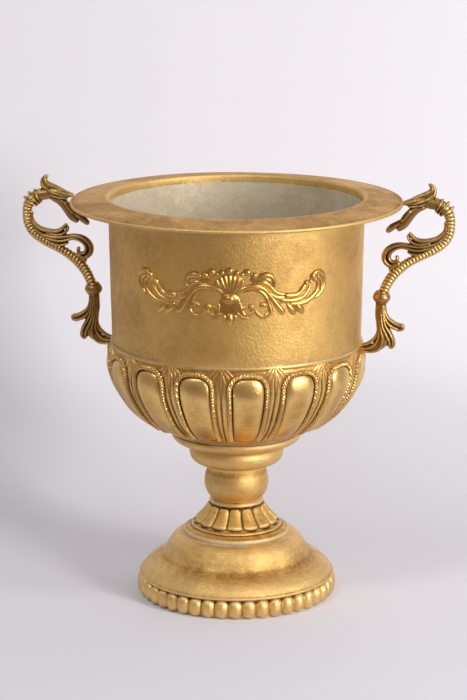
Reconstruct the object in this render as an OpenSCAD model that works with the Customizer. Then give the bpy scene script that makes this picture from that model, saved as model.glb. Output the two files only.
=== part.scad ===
// Two-handled footed urn in spun, chased and cast brass.
// Z is up and the origin is the centre of the foot's underside. Sizes are in millimetres.
// The garlands face -Y and +Y, and the handles stand out along +X and -X.

/* [Cup] */
// Height of the mouth's inner edge above the floor
rim_h = 380; // [376:1:386]
// Outer radius of the flange
flange_r = 153.5; // [150:0.5:157]
// Outer radius of the wall under the flange
mouth_r = 118.4; // [117.6:0.2:119.2]
// Outer radius of the wall at the seam with the bowl
seam_r = 115.8; // [115:0.2:116.4]
// Thickness of the sheet brass
sheet = 1.5; // [1.2:0.1:1.8]

/* [Bowl] */
// Height of the seam between the wall and the bowl
seam_z = 245; // [243:1:247]
// Number of gadroons round the bowl
gadroons = 15; // [12:1:16]
// Turn of the first gadroon's middle from the front, towards +X
gadroon_turn = 13.2; // [0:0.2:24]
// Height of the gadroons above the ground between them
gadroon_rise = 2; // [1:0.5:3]

/* [Garlands] */
// Turn of each garland's middle from the front or the back
garland_turn = 5; // [0:1:8]
// Thickness of the garlands
garland_t = 2.5; // [1.5:0.5:3.5]

/* [Stem] */
// Number of flutes on the neck
flutes = 15; // [12:1:18]
// Radius of the tie rod
rod_r = 4; // [3:0.5:5]
// Thickness of the stem castings
cast_t = 3; // [2.5:0.5:3.5]

/* [Foot] */
// Outer radius over the beads
foot_r = 94; // [92:0.5:96]
// Number of beads round the foot
beads = 44; // [40:1:44]
// Height of the bead band
bead_h = 18; // [16:1:20]

/* [Handles] */
// Radius of the screw that holds each handle's foot
screw_r = 2; // [1.5:0.5:2.5]
// Width of the dragon's head
head_w = 12; // [10:1:14]

/* [Hidden] */

// Finishes
brass = "#b08a45";
dark_brass = "#8f6c35";
tinned = "#8c8a78";
steel = "#77746c";

// Heights where one piece rests on the next
collar_z = 372;
lap_z = 236;
bowl_z = 156;
dish_z = 144;
step_z = 125;
knop_z = 91;
neck_z = 59;
dome_z = bead_h;
bar_z = 40;
bar_t = 3;
bar_r = 62;
screw_z = 240;
bore_r = rod_r + 0.5;

// A smooth curve through hand-chosen points, with the given number of steps between each pair
function bend(p0, p1, p2, p3, t) =
    0.5 * (2 * p1 + (p2 - p0) * t + (2 * p0 - 5 * p1 + 4 * p2 - p3) * t * t
    + (3 * p1 - p0 - 3 * p2 + p3) * t * t * t);
function smooth(points, steps) = [
    for (i = [0 : len(points) - 2], s = [0 : steps - 1])
        bend(points[max(i - 1, 0)], points[i], points[i + 1],
             points[min(i + 2, len(points) - 1)], s / steps),
    points[len(points) - 1]
];

// A curve that runs downwards, moved outwards by d
function beside(points, d) = [
    for (i = [0 : len(points) - 1])
        let (a = points[max(i - 1, 0)], b = points[min(i + 1, len(points) - 1)])
            points[i] + d * [a[1] - b[1], b[0] - a[0]] / norm(b - a)
];
function reversed(points) = [for (i = [len(points) - 1 : -1 : 0]) points[i]];

// Radius of the wall's outer face at height z
function wall_r(z) = seam_r + (mouth_r - seam_r) * (z - seam_z) / (collar_z - seam_z);

// Outer curve of the bowl's ground, from the seam down to the floor's edge
bowl_curve = smooth([[seam_r + sheet, seam_z], [117.8, 227], [116, 213], [109.5, 198],
                     [98, 182], [82, 169], [66, 160]], 2);
// Outer curves of the turned pieces, from the top down
dish_curve = smooth([[60.6, bowl_z], [60.2, 152], [56, 147], [48, 144.6]], 3);
step_curve = smooth([[42.5, dish_z], [44.3, 138], [43, 131], [38, 127], [31, step_z]], 3);
knop_curve = smooth([[28.4, step_z], [27.6, 121], [29.4, 115], [30.2, 108], [28.6, 99.5], [23.6, knop_z]], 3);
neck_curve = smooth([[26, 87], [28, 80], [33.5, 73], [41, 67], [46, 64.5]], 3);
dome_curve = smooth([[50, neck_z], [56, 57.5], [61.5, 53], [65.4, 46.5], [69.2, 38], [74.5, 34.6],
    [83, 29.6], [89, 24.2], [91.5, 20.5]], 2);

// A flat ring
module ring(r_out, r_in, z0, z1) {
    translate([0, 0, z0])
        difference() {
            cylinder(r = r_out, h = z1 - z0, $fn = 128);
            translate([0, 0, -1])
                cylinder(r = r_in, h = z1 - z0 + 2, $fn = 96);
        }
}

// Places its children along +X at the given angle from the front, with their face outwards
module facing(turn, r, z) {
    rotate([0, 0, turn - 90])
        translate([r, 0, z])
            rotate([90, 0, 90])
                children();
}

// Holes for the two handle screws, through the wall and the bowl's lap
module screw_holes() {
    for (side = [0, 180])
        rotate([0, 0, side])
            translate([seam_r - 6, 0, screw_z])
                rotate([0, 90, 0])
                    cylinder(r = screw_r + 0.05, h = 12, $fn = 32);
}

// ---- Cup ----

// Drooping flange with a rounded mouth, a short collar below it and a rolled edge
module rim_flange() {
    lip = 1.65;
    round_r = 3;
    inner_r = mouth_r - sheet;
    edge = [flange_r - lip, rim_h - 5.6];
    color(brass)
        rotate_extrude($fn = 128)
            union() {
                polygon([[inner_r, collar_z], [mouth_r, collar_z], [mouth_r, rim_h - round_r - 0.6],
                         [inner_r + round_r, rim_h - sheet], [136, rim_h - 1.9 - sheet],
                         [edge[0], edge[1] - 0.2], [edge[0], edge[1] + 1.5], [136, rim_h - 1.9],
                         [inner_r + round_r, rim_h],
                         for (a = [120 : 30 : 180])
                             [inner_r + round_r, rim_h - round_r] + round_r * [cos(a), sin(a)]]);
                translate(edge)
                    circle(r = lip, $fn = 32);
            }
}

// Tapering wall, straight where it laps inside the bowl
module cup_wall() {
    color(tinned)
        difference() {
            rotate_extrude($fn = 128)
                polygon([[seam_r - sheet, lap_z], [seam_r, lap_z], [seam_r, seam_z], [mouth_r, collar_z],
                         [mouth_r - sheet, collar_z], [seam_r - sheet, seam_z]]);
            screw_holes();
        }
}

// One raised gadroon: a sector of the bowl's surface that narrows as the bowl closes
module gadroon() {
    half = 7.3;
    low = 162;
    high = 236;
    raised = [for (p = beside(bowl_curve, gadroon_rise)) if (p[1] > low && p[1] < high) p];
    root = [for (p = beside(bowl_curve, -sheet / 2)) if (p[1] > low && p[1] < high) p];
    rotate([0, 0, -90 - half])
        rotate_extrude(angle = 2 * half, $fn = 128)
            polygon(concat(raised, reversed(root)));
}

// Chased bowl: a turned ground with raised gadroons, a lap for the wall and a flat floor
module gadroon_bowl() {
    inner_curve = [for (p = beside(bowl_curve, -sheet)) if (p[1] < lap_z - 2) p];
    floor_points = [[58, bowl_z], [bore_r, bowl_z], [bore_r, bowl_z + 2], [62, bowl_z + 2]];
    color(brass)
        difference() {
            union() {
                rotate_extrude($fn = 128)
                    polygon(concat(bowl_curve, floor_points, reversed(inner_curve),
                                   [[seam_r, lap_z], [seam_r, seam_z]]));
                for (i = [0 : gadroons - 1])
                    rotate([0, 0, gadroon_turn + i * 360 / gadroons])
                        gadroon();
            }
            screw_holes();
        }
}

// ---- Garlands ----

// A ring or, with r_in at 0, a disc that stands out from the wall
module boss(turn, z, r_out, r_in) {
    facing(turn, seam_r - 4, z)
        linear_extrude(14)
            difference() {
                circle(r = r_out, $fn = 32);
                if (r_in > 0)
                    circle(r = r_in, $fn = 32);
            }
}

// Pressed garland: a shell between two scrolls, with an arm and three leaflets on each side
module garland(turn) {
    arm = [[14, 313], [18, 310], [22, 307.5], [26, 306], [30, 306], [34, 308]];
    leaflets = [23.7, 29.2, 33.7];
    color(brass)
        rotate([0, 0, turn])
            intersection() {
                rotate_extrude($fn = 128)
                    polygon([[wall_r(280), 280], [wall_r(280) + garland_t, 280],
                             [wall_r(340) + garland_t, 340], [wall_r(340), 340]]);
                union() {
                    boss(0, 315, 19, 0);
                    boss(0, 292, 7, 0);
                    for (side = [-1, 1]) {
                        boss(side * 10.8, 305, 13.5, 8.5);
                        boss(side * 15.6, 323, 6, 0);
                        for (p = arm)
                            boss(side * p[0], p[1], 5, 0);
                        boss(side * 39.5, 315, 11, 5);
                        for (turn = leaflets, z = [295, 300])
                            boss(side * turn, z, 3.6, 0);
                    }
                }
            }
}
module garland_front() { garland(garland_turn); }
module garland_back() { garland(garland_turn + 180); }

// ---- Handles ----

// Round or flattened bar through stations of radius from the axis, height, half thickness
module bar(stations, width) {
    for (i = [0 : len(stations) - 2])
        hull()
            for (s = [stations[i], stations[i + 1]])
                translate([s[0], 0, s[1]])
                    scale([1, width, 1])
                        sphere(r = s[2], $fn = 12);
}

// Cast dragon: head over the flange's edge, ribbed body, scroll, collar, tail leaves and foot
module dragon() {
    body = [[183, 373, 7], [192, 368, 6.5], [195.8, 360, 5.6], [195.6, 352, 5.4], [191, 343, 6.2],
            [183, 337, 7.5], [172, 332, 8], [162, 327, 7.2], [152, 319, 6.2], [144, 309, 5.6],
            [139, 301, 5], [136, 293, 4.6]];
    skull = [[156, 376.5, 2.2], [163, 376.5, 4.8], [172, 377.5, 6.6], [183, 374, 7]];
    crest = [[178, 380, 5], [180, 387, 4], [179.6, 391, 3], [177.5, 394.3, 1.5]];
    jaw = [[170, 373, 4], [162, 366, 5.5], [154, 358, 6], [146, 354.5, 4.4], [140, 351.5, 2.8]];
    wing = [[178, 338, 6], [168, 342, 5], [160, 347.5, 2]];
    scroll = [for (a = [20 : 30 : 230]) [146.5 + 8.5 * cos(a), 328 + 8.8 * sin(a), 3.6]];
    collar = [[130.5, 288, 3.4], [139.5, 288, 3.4]];
    tail = [[134.5, 284, 5], [135, 270, 5.5], [137, 258, 7], [131, 245, 5.5],
            [124, 239.5, 4.5], [118, 239.5, 4.3]];
    upper_leaf = [[137, 266, 5], [146, 263, 4.5], [154, 260.5, 1.6]];
    lower_leaf = [[138, 258, 6], [143, 250, 5], [145.5, 243.5, 2.3]];
    difference() {
        union() {
            bar(body, 1);
            bar(skull, head_w / 14);
            bar(crest, 0.9);
            bar(jaw, 0.9);
            bar(wing, 0.8);
            bar(scroll, 1.1);
            bar(collar, 2);
            bar(tail, 1);
            bar(upper_leaf, 0.8);
            bar(lower_leaf, 0.8);
        }
        // The foot is shaped to the bowl's lap
        translate([0, 0, 200])
            cylinder(r = seam_r + sheet + 0.05, h = 60, $fn = 180);
        // The mouth closes on the flange's rolled edge
        translate([0, 0, rim_h - 8])
            cylinder(r = flange_r + 0.05, h = 8, $fn = 180);
        // The screw's hole in the foot
        translate([110, 0, screw_z])
            rotate([0, 90, 0])
                cylinder(r = screw_r + 0.1, h = 17.5, $fn = 24);
    }
}
module handle_right() { color(dark_brass) dragon(); }
module handle_left() { color(dark_brass) rotate([0, 0, 180]) dragon(); }

// Screws from inside the cup into the handles' feet
module handle_screws() {
    head = 2;
    inner_face = seam_r - sheet;
    color(steel)
        for (side = [0, 180])
            rotate([0, 0, side])
                translate([inner_face, 0, screw_z])
                    rotate([0, 90, 0])
                        union() {
                            translate([0, 0, -head - 0.05])
                                cylinder(r = 2 * screw_r, h = head, $fn = 32);
                            translate([0, 0, -0.1])
                                cylinder(r = screw_r, h = 13, $fn = 32);
                        }
}

// ---- Stem ----

// Shallow turned dish under the bowl
module dish_ring() {
    color(brass)
        rotate_extrude($fn = 128)
            polygon(concat(dish_curve, [[30, dish_z], [bore_r, dish_z], [bore_r, dish_z + cast_t],
                                        [44, dish_z + cast_t + 1], [54, bowl_z - 3], [55, bowl_z]]));
}

// Round-edged step between the dish and the knop
module step_ring() {
    color(brass)
        rotate_extrude($fn = 128)
            polygon(concat(step_curve, [[bore_r, step_z], [bore_r, step_z + cast_t],
                                        [34, step_z + cast_t + 2], [39, step_z + 8], [39, dish_z]]));
}

// Flattened ball with a short neck above it
module knop() {
    color(brass)
        difference() {
            rotate_extrude($fn = 128)
                polygon(concat([[bore_r, step_z]], knop_curve, [[bore_r, knop_z]]));
            translate([0, 0, 108])
                cylinder(r = 20, h = 14, center = true, $fn = 64);
        }
}

// Flared neck with rounded flutes, a bead at the top and a base ring
module fluted_neck() {
    half = 180 / flutes - 2.5;
    core = [for (p = beside(neck_curve, -1.4)) if (p[1] > 66) p];
    flute_root = [for (p = beside(neck_curve, -2.2)) if (p[1] > 66) p];
    color(brass)
        union() {
            rotate_extrude($fn = 128)
                polygon(concat([[bore_r, knop_z], [23.6, knop_z], [25.6, 89.5], [25.6, 88], [24.5, 87]], core,
                               [[44, 64], [50, 63], [50, neck_z], [40, neck_z], [22, 78], [20, 86],
                                [bore_r, 86]]));
            for (i = [0 : flutes - 1])
                rotate([0, 0, 95.5 - half + i * 360 / flutes])
                    rotate_extrude(angle = 2 * half, $fn = 128)
                        polygon(concat(neck_curve, [[46, 61], [42, 61]], reversed(flute_root)));
        }
}

// ---- Foot ----

// Spun foot with a convex shoulder, a hollow flare and a seat inside for the bar
module foot_dome() {
    hollow = [[91.5, dome_z], [86, dome_z], [86, 21.5], [80, 27], [72, 31]];
    seat = [[bar_r, bar_z], [bar_r, bar_z + bar_t], [58, bar_z + bar_t], [58, 49], [56, 52],
            [52, 55], [40, 56]];
    color(brass)
        rotate_extrude($fn = 128)
            polygon(concat([[40, neck_z]], dome_curve, hollow, seat));
}

// One barrel-shaped bead
module bead() {
    r = 6;
    rotate_extrude($fn = 24)
        polygon([[0, 0], [r - 2, 0], [r, 4], [r, bead_h - 5], [r - 2.5, bead_h - 0.5], [0, bead_h - 0.5]]);
}

// Band of beads that the foot stands on
module bead_band() {
    color(brass)
        union() {
            ring(foot_r - 4.4, foot_r - 14, 0, bead_h);
            for (i = [0 : beads - 1])
                rotate([0, 0, i * 360 / beads])
                    translate([foot_r - 6, 0, 0])
                        bead();
        }
}

// ---- Fixings ----

// Threaded rod that draws the bowl, the stem and the foot together
module tie_rod() {
    color(steel)
        translate([0, 0, bar_z - 12])
            cylinder(r = rod_r, h = bowl_z + 14 - bar_z + 12, $fn = 48);
}
module rod_washer() { color(steel) ring(16, rod_r + 0.3, bowl_z + 2, bowl_z + 4); }
module rod_nut() { color(steel) nut(bowl_z + 4); }

// Hexagonal nut
module nut(z) {
    translate([0, 0, z])
        difference() {
            cylinder(r = 2 * rod_r, h = 1.6 * rod_r, $fn = 6);
            translate([0, 0, -1])
                cylinder(r = rod_r, h = 20, $fn = 48);
        }
}

// Disc that bridges the inside of the foot, up against its seat
module foot_bar() { color(steel) ring(bar_r - 0.1, bore_r, bar_z, bar_z + bar_t); }
module foot_washer() { color(steel) ring(12, rod_r + 0.3, bar_z - 2, bar_z); }
module foot_nut() { color(steel) nut(bar_z - 2 - 1.6 * rod_r); }

rim_flange();
cup_wall();
gadroon_bowl();
garland_front();
garland_back();
handle_left();
handle_right();
handle_screws();
dish_ring();
step_ring();
knop();
fluted_neck();
foot_dome();
bead_band();
tie_rod();
rod_washer();
rod_nut();
foot_bar();
foot_washer();
foot_nut();
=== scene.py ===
"""Looks of a two-handled footed urn in aged brass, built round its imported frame.

Every sub-assembly is a class that holds its sizes in millimetres and builds its own meshes. Meshes are
modelled in millimetres, in the frame's own axes, and scaled to metres as the last step.
"""

import logging
import math
from dataclasses import dataclass, field
from enum import Enum
from typing import Callable, Iterable, Sequence

import bmesh
import bpy
import numpy as np
from mathutils import Matrix, Vector


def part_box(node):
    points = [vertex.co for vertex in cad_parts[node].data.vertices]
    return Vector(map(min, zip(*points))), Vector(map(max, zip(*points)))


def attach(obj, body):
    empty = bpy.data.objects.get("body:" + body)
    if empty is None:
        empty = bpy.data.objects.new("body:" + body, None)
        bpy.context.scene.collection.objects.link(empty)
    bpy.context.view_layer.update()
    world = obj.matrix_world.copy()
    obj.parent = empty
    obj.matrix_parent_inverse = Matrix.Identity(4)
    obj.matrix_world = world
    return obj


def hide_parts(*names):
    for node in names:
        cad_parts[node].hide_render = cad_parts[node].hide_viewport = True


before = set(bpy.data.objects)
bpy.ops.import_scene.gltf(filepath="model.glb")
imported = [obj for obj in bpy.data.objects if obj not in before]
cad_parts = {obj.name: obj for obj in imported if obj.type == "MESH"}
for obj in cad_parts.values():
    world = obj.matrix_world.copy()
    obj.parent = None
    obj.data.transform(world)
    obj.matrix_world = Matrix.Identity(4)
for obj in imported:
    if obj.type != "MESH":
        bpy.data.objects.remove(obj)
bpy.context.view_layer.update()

logging.basicConfig(level=logging.INFO, format="%(levelname)s %(message)s")
LOG = logging.getLogger("urn")

MM = 0.001
UP = Vector((0.0, 0.0, 1.0))
Pair = tuple[float, float]
Triple = tuple[float, float, float]
Colour = tuple[float, float, float]
Section = Callable[[np.ndarray, np.ndarray], np.ndarray]


# ---------------------------------------------------------------------------------------------
# Curves
# ---------------------------------------------------------------------------------------------

def flowing(points: Sequence[Sequence[float]], spacing: float) -> np.ndarray:
    """A smooth curve through given points, with its own points evenly spaced.

    Args:
        points: Points of any dimension. Columns past the position, such as a width, flow along too.
        spacing: Distance between the curve's points, in millimetres.

    Returns:
        One row for each point of the curve.
    """
    knots = np.array(points, float)
    padded = np.vstack([2 * knots[0] - knots[1], knots, 2 * knots[-1] - knots[-2]])
    rows = []
    for i in range(1, len(padded) - 2):
        p0, p1, p2, p3 = padded[i - 1:i + 3]
        for t in np.linspace(0, 1, 24, endpoint=False):
            rows.append(0.5 * (2 * p1 + (p2 - p0) * t + (2 * p0 - 5 * p1 + 4 * p2 - p3) * t ** 2
                               + (3 * p1 - p0 - 3 * p2 + p3) * t ** 3))
    rows.append(knots[-1])
    return evenly(np.array(rows), spacing)


def evenly(rows: np.ndarray, spacing: float) -> np.ndarray:
    """Resamples a polyline so that its points are evenly spaced.

    Args:
        rows: The polyline's points.
        spacing: Distance wanted between points.

    Returns:
        The resampled rows, with both ends kept.
    """
    place = rows[:, :2]
    steps = np.hypot(*np.diff(place, axis=0).T)
    along = np.concatenate([[0], np.cumsum(steps)])
    count = max(2, int(round(along[-1] / spacing)) + 1)
    at = np.linspace(0, along[-1], count)
    return np.stack([np.interp(at, along, rows[:, k]) for k in range(rows.shape[1])], axis=1)


def beside(curve: np.ndarray, distance: float) -> np.ndarray:
    """A curve that runs downwards, moved outwards by a distance."""
    run = np.gradient(curve[:, :2], axis=0)
    run /= np.maximum(np.hypot(run[:, 0], run[:, 1]), 1e-9)[:, None]
    return curve[:, :2] + distance * np.stack([-run[:, 1], run[:, 0]], axis=1)


def arc(centre: Pair, radius: float, start: float, end: float, count: int) -> list[Pair]:
    """Points along a circular arc, with both angles in degrees."""
    angles = np.radians(np.linspace(start, end, count))
    return [(centre[0] + radius * math.cos(a), centre[1] + radius * math.sin(a)) for a in angles]


@dataclass(frozen=True)
class Seat:
    """Where a node of the frame stands, in millimetres: its base, its top and its largest radius."""

    base: float
    top: float
    radius: float

    @classmethod
    def of(cls, node: str) -> "Seat":
        """The seat of a named node, measured on the frame."""
        low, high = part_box(node)
        return cls(low[2] / MM, high[2] / MM, high[0] / MM)


# ---------------------------------------------------------------------------------------------
# Meshes
# ---------------------------------------------------------------------------------------------

def tube(stations: np.ndarray, sides: int, shape: Section) -> bmesh.types.BMesh:
    """A closed tube made from a grid that is rolled round a path.

    Args:
        stations: One row a ring: position in the first three columns.
        sides: Corners of each ring.
        shape: Gives a ring's offsets from its station. Takes the row numbers and the turn round the ring.

    Returns:
        The tube as a bmesh, merged along its seam and filled at its ends.
    """
    rings = len(stations)
    bm = bmesh.new()
    bmesh.ops.create_grid(bm, x_segments=sides, y_segments=rings - 1, size=1.0)
    grid = np.array([v.co[:] for v in bm.verts])
    turn = (grid[:, 0] + 1) * math.pi
    row = np.rint((grid[:, 1] + 1) / 2 * (rings - 1)).astype(int)
    placed = stations[row, :3] + shape(row, turn)
    for vert, place in zip(bm.verts, placed):
        vert.co = place
    bmesh.ops.remove_doubles(bm, verts=bm.verts, dist=1e-5)
    bmesh.ops.holes_fill(bm, edges=[e for e in bm.edges if e.is_boundary], sides=0)
    bmesh.ops.recalc_face_normals(bm, faces=bm.faces)
    return bm


def turned(profile: Sequence[Sequence[float]], steps: int) -> bmesh.types.BMesh:
    """Spins a closed outline of radius and height round the urn's axis.

    Args:
        profile: The outline's points, all off the axis.
        steps: Steps in the full turn.

    Returns:
        A closed shell.
    """
    bm = bmesh.new()
    verts = [bm.verts.new((p[0], 0.0, p[1])) for p in profile]
    edges = [bm.edges.new((a, b)) for a, b in zip(verts, verts[1:] + verts[:1])]
    bmesh.ops.spin(bm, geom=verts + edges, cent=(0, 0, 0), axis=(0, 0, 1), dvec=(0, 0, 0),
                   angle=2 * math.pi, steps=steps, use_merge=True, use_duplicate=False)
    bmesh.ops.remove_doubles(bm, verts=bm.verts, dist=1e-4)
    bmesh.ops.recalc_face_normals(bm, faces=bm.faces)
    return bm


def copies_round(bm: bmesh.types.BMesh, count: int, first: float) -> None:
    """Repeats everything in a bmesh evenly round the urn's axis.

    Args:
        bm: The bmesh.
        count: How many there are in the end.
        first: Degrees by which the first one is turned.
    """
    bmesh.ops.rotate(bm, verts=bm.verts, cent=(0, 0, 0), matrix=Matrix.Rotation(math.radians(first), 3, "Z"))
    bmesh.ops.spin(bm, geom=bm.verts[:] + bm.edges[:] + bm.faces[:], cent=(0, 0, 0), axis=(0, 0, 1),
                   dvec=(0, 0, 0), angle=2 * math.pi * (count - 1) / count, steps=count - 1,
                   use_merge=False, use_duplicate=True)


def joined(parts: Iterable[bmesh.types.BMesh]) -> bmesh.types.BMesh:
    """Gathers several bmeshes into one and frees them."""
    whole = bmesh.new()
    for part in parts:
        mesh = bpy.data.meshes.new("part")
        part.to_mesh(mesh)
        part.free()
        whole.from_mesh(mesh)
        bpy.data.meshes.remove(mesh)
    return whole


def points_of(mesh: bpy.types.Mesh) -> np.ndarray:
    """A mesh's vertex positions, one row each."""
    flat = np.empty(len(mesh.vertices) * 3)
    mesh.vertices.foreach_get("co", flat)
    return flat.reshape(-1, 3)


def nearest_on(curve: np.ndarray, places: np.ndarray) -> tuple[np.ndarray, np.ndarray]:
    """Finds the row of a turned curve that each place lies nearest to.

    Args:
        curve: Radius and height of the curve's points.
        places: Places round the urn's axis.

    Returns:
        The rows, and whether each place lies on the curve.
    """
    radius = np.hypot(places[:, 0], places[:, 1])
    gaps = (radius[:, None] - curve[None, :, 0]) ** 2 + (places[:, 2][:, None] - curve[None, :, 1]) ** 2
    rows = gaps.argmin(axis=1)
    return rows, gaps[np.arange(len(places)), rows] < 0.01


def from_middle(places: np.ndarray, count: int, first: float) -> tuple[np.ndarray, np.ndarray]:
    """Finds each place's angle round the urn, and its angle from the middle of the nearest of count motifs."""
    angle = np.degrees(np.arctan2(places[:, 0], -places[:, 1]))
    pitch = 360 / count
    return angle, (angle - first + pitch / 2) % pitch - pitch / 2


def move_points(mesh: bpy.types.Mesh, places: np.ndarray) -> None:
    """Moves a mesh's vertices to new positions."""
    mesh.vertices.foreach_set("co", np.ascontiguousarray(places, float).ravel())
    mesh.update()


def mark(mesh: bpy.types.Mesh, name: str, values: np.ndarray) -> None:
    """Stores a mask from 0 to 1 on a mesh's vertices, for its material to read."""
    layer = mesh.attributes.get(name) or mesh.attributes.new(name, "FLOAT", "POINT")
    layer.data.foreach_set("value", np.clip(values, 0, 1).astype(np.float32))


def mark_hollows(mesh: bpy.types.Mesh, reach: int, depth: float) -> None:
    """Stores how far each vertex lies below or above its smoothed surroundings.

    Args:
        mesh: The mesh, in millimetres.
        reach: Rounds of smoothing, which set how wide the surroundings are.
        depth: Depth in millimetres that counts as a full hollow, or a full crest.
    """
    places = points_of(mesh)
    edges = np.empty(len(mesh.edges) * 2, np.int64)
    mesh.edges.foreach_get("vertices", edges)
    ends = edges.reshape(-1, 2)
    count = np.bincount(ends.ravel(), minlength=len(places)).astype(float)
    smooth = places.copy()
    for _ in range(reach):
        total = np.zeros_like(smooth)
        for axis in range(3):
            total[:, axis] = (np.bincount(ends[:, 0], smooth[ends[:, 1], axis], len(places))
                              + np.bincount(ends[:, 1], smooth[ends[:, 0], axis], len(places)))
        smooth = 0.4 * smooth + 0.6 * total / np.maximum(count, 1)[:, None]
    normals = np.empty(len(places) * 3)
    mesh.vertices.foreach_get("normal", normals)
    height = ((places - smooth) * normals.reshape(-1, 3)).sum(axis=1)
    # The hollow mask drives the painted shade that darkens hollows in the brass finishes.
    mark(mesh, "hollow", -height / depth)
    mark(mesh, "crest", height / depth)


def melted(bm: bmesh.types.BMesh, voxel: float, rounds: int) -> bmesh.types.BMesh:
    """Melts parts that run into each other into one smooth casting.

    Args:
        bm: The parts, which are freed.
        voxel: Grain of the melt, in millimetres.
        rounds: Rounds of smoothing afterwards.

    Returns:
        The casting.
    """
    mesh = bpy.data.meshes.new("casting")
    bm.to_mesh(mesh)
    bm.free()
    lump = bpy.data.objects.new("casting", mesh)
    bpy.context.scene.collection.objects.link(lump)
    melt = lump.modifiers.new("melt", "REMESH")
    melt.mode = "VOXEL"
    melt.voxel_size = voxel
    melt.adaptivity = 0.0
    ease = lump.modifiers.new("ease", "SMOOTH")
    ease.factor = 0.5
    ease.iterations = rounds
    graph = bpy.context.evaluated_depsgraph_get()
    smooth = bpy.data.meshes.new_from_object(lump.evaluated_get(graph))
    bpy.data.objects.remove(lump)
    made = bmesh.new()
    made.from_mesh(smooth)
    for spent in (mesh, smooth):
        bpy.data.meshes.remove(spent)
    return made


def finished(name: str, bm: bmesh.types.BMesh, materials: Sequence[bpy.types.Material], *,
             crease: float = 40.0, reach: int = 12, depth: float = 0.25,
             shape: Callable[[bpy.types.Mesh], None] | None = None) -> bpy.types.Object:
    """Turns a bmesh in millimetres into a finished piece in metres, in the frame.

    Args:
        name: The piece's name.
        bm: The bmesh, which is freed.
        materials: The piece's materials, in slot order.
        crease: Edges sharper than this many degrees stay sharp.
        reach: Rounds of smoothing for the hollow and crest masks.
        depth: Depth of a full hollow, in millimetres.
        shape: A last change to the mesh while it is in millimetres.

    Returns:
        The piece, riding on the urn's one body.
    """
    mesh = bpy.data.meshes.new(name)
    bm.to_mesh(mesh)
    bm.free()
    if shape:
        shape(mesh)
    mesh.shade_smooth()
    mesh.set_sharp_from_angle(angle=math.radians(crease))
    mark_hollows(mesh, reach, depth)
    mesh.transform(Matrix.Scale(MM, 4))
    for material in materials:
        mesh.materials.append(material)
    piece = bpy.data.objects.new(name, mesh)
    bpy.context.scene.collection.objects.link(piece)
    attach(piece, "root")
    LOG.info("%s: %d faces", name, len(mesh.polygons))
    return piece


# ---------------------------------------------------------------------------------------------
# Finishes
# ---------------------------------------------------------------------------------------------

class Socket(Enum):
    """Kinds of socket that the shader groups use."""

    FLOAT = "NodeSocketFloat"
    VECTOR = "NodeSocketVector"


class Sketch:
    """Places and joins the nodes of one tree."""

    def __init__(self, tree: bpy.types.NodeTree) -> None:
        """Starts on an empty tree."""
        self.tree = tree
        tree.nodes.clear()

    def node(self, kind: str, inputs: dict | None = None, **settings) -> bpy.types.Node:
        """Adds a node, sets its properties and fills or links its inputs.

        Args:
            kind: The node's type, without the leading word Shader.
            inputs: Input name or number to a value or an output socket.
            **settings: Properties of the node.

        Returns:
            The new node.
        """
        made = self.tree.nodes.new(kind)
        for key, value in settings.items():
            setattr(made, key, value)
        for key, value in (inputs or {}).items():
            if isinstance(value, bpy.types.NodeSocket):
                self.tree.links.new(value, made.inputs[key])
            else:
                made.inputs[key].default_value = value
        return made

    def maths(self, operation: str, a, b=0.0, c=0.0, clamp: bool = False) -> bpy.types.NodeSocket:
        """The result of a Math node."""
        made = self.node("ShaderNodeMath", {0: a, 1: b, 2: c}, operation=operation, use_clamp=clamp)
        return made.outputs[0]

    def blend(self, amount, a, b, blend_type: str = "MIX") -> bpy.types.NodeSocket:
        """The result of a colour Mix node."""
        made = self.node("ShaderNodeMix", {0: amount, 6: a, 7: b}, data_type="RGBA", blend_type=blend_type)
        return made.outputs[2]

    def noise(self, where, scale: float, detail: float = 4.0, rough: float = 0.6,
              distortion: float = 0.0) -> bpy.types.NodeSocket:
        """The height of a noise texture."""
        made = self.node("ShaderNodeTexNoise", {"Vector": where, "Scale": scale, "Detail": detail,
                                               "Roughness": rough, "Distortion": distortion})
        return made.outputs[0]

    def window(self, value, low: float, high: float) -> bpy.types.NodeSocket:
        """A value stretched so that low becomes 0 and high becomes 1."""
        made = self.node("ShaderNodeMapRange", {0: value, 1: low, 2: high}, interpolation_type="SMOOTHSTEP")
        return made.outputs[0]

    def stretched(self, where, scale: Triple, turn: Triple = (0.0, 0.0, 0.0)) -> bpy.types.NodeSocket:
        """Coordinates scaled, and turned in radians, by a Mapping node."""
        made = self.node("ShaderNodeMapping", {"Vector": where, "Scale": scale, "Rotation": turn})
        return made.outputs[0]


def shader_group(name: str, inputs: dict[str, Socket], outputs: dict[str, Socket],
                 build: Callable[[Sketch, bpy.types.Node, bpy.types.Node], None]) -> bpy.types.NodeTree:
    """Makes a shader node group once, and returns it on later calls.

    Args:
        name: The group's name.
        inputs: Input socket names and kinds.
        outputs: Output socket names and kinds.
        build: Fills the group, given its sketch and its input and output nodes.

    Returns:
        The node group.
    """
    if name in bpy.data.node_groups:
        return bpy.data.node_groups[name]
    tree = bpy.data.node_groups.new(name, "ShaderNodeTree")
    for socket, kind in inputs.items():
        tree.interface.new_socket(socket, in_out="INPUT", socket_type=kind.value)
    for socket, kind in outputs.items():
        tree.interface.new_socket(socket, in_out="OUTPUT", socket_type=kind.value)
    sketch = Sketch(tree)
    build(sketch, sketch.node("NodeGroupInput"), sketch.node("NodeGroupOutput"))
    return tree


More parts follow.
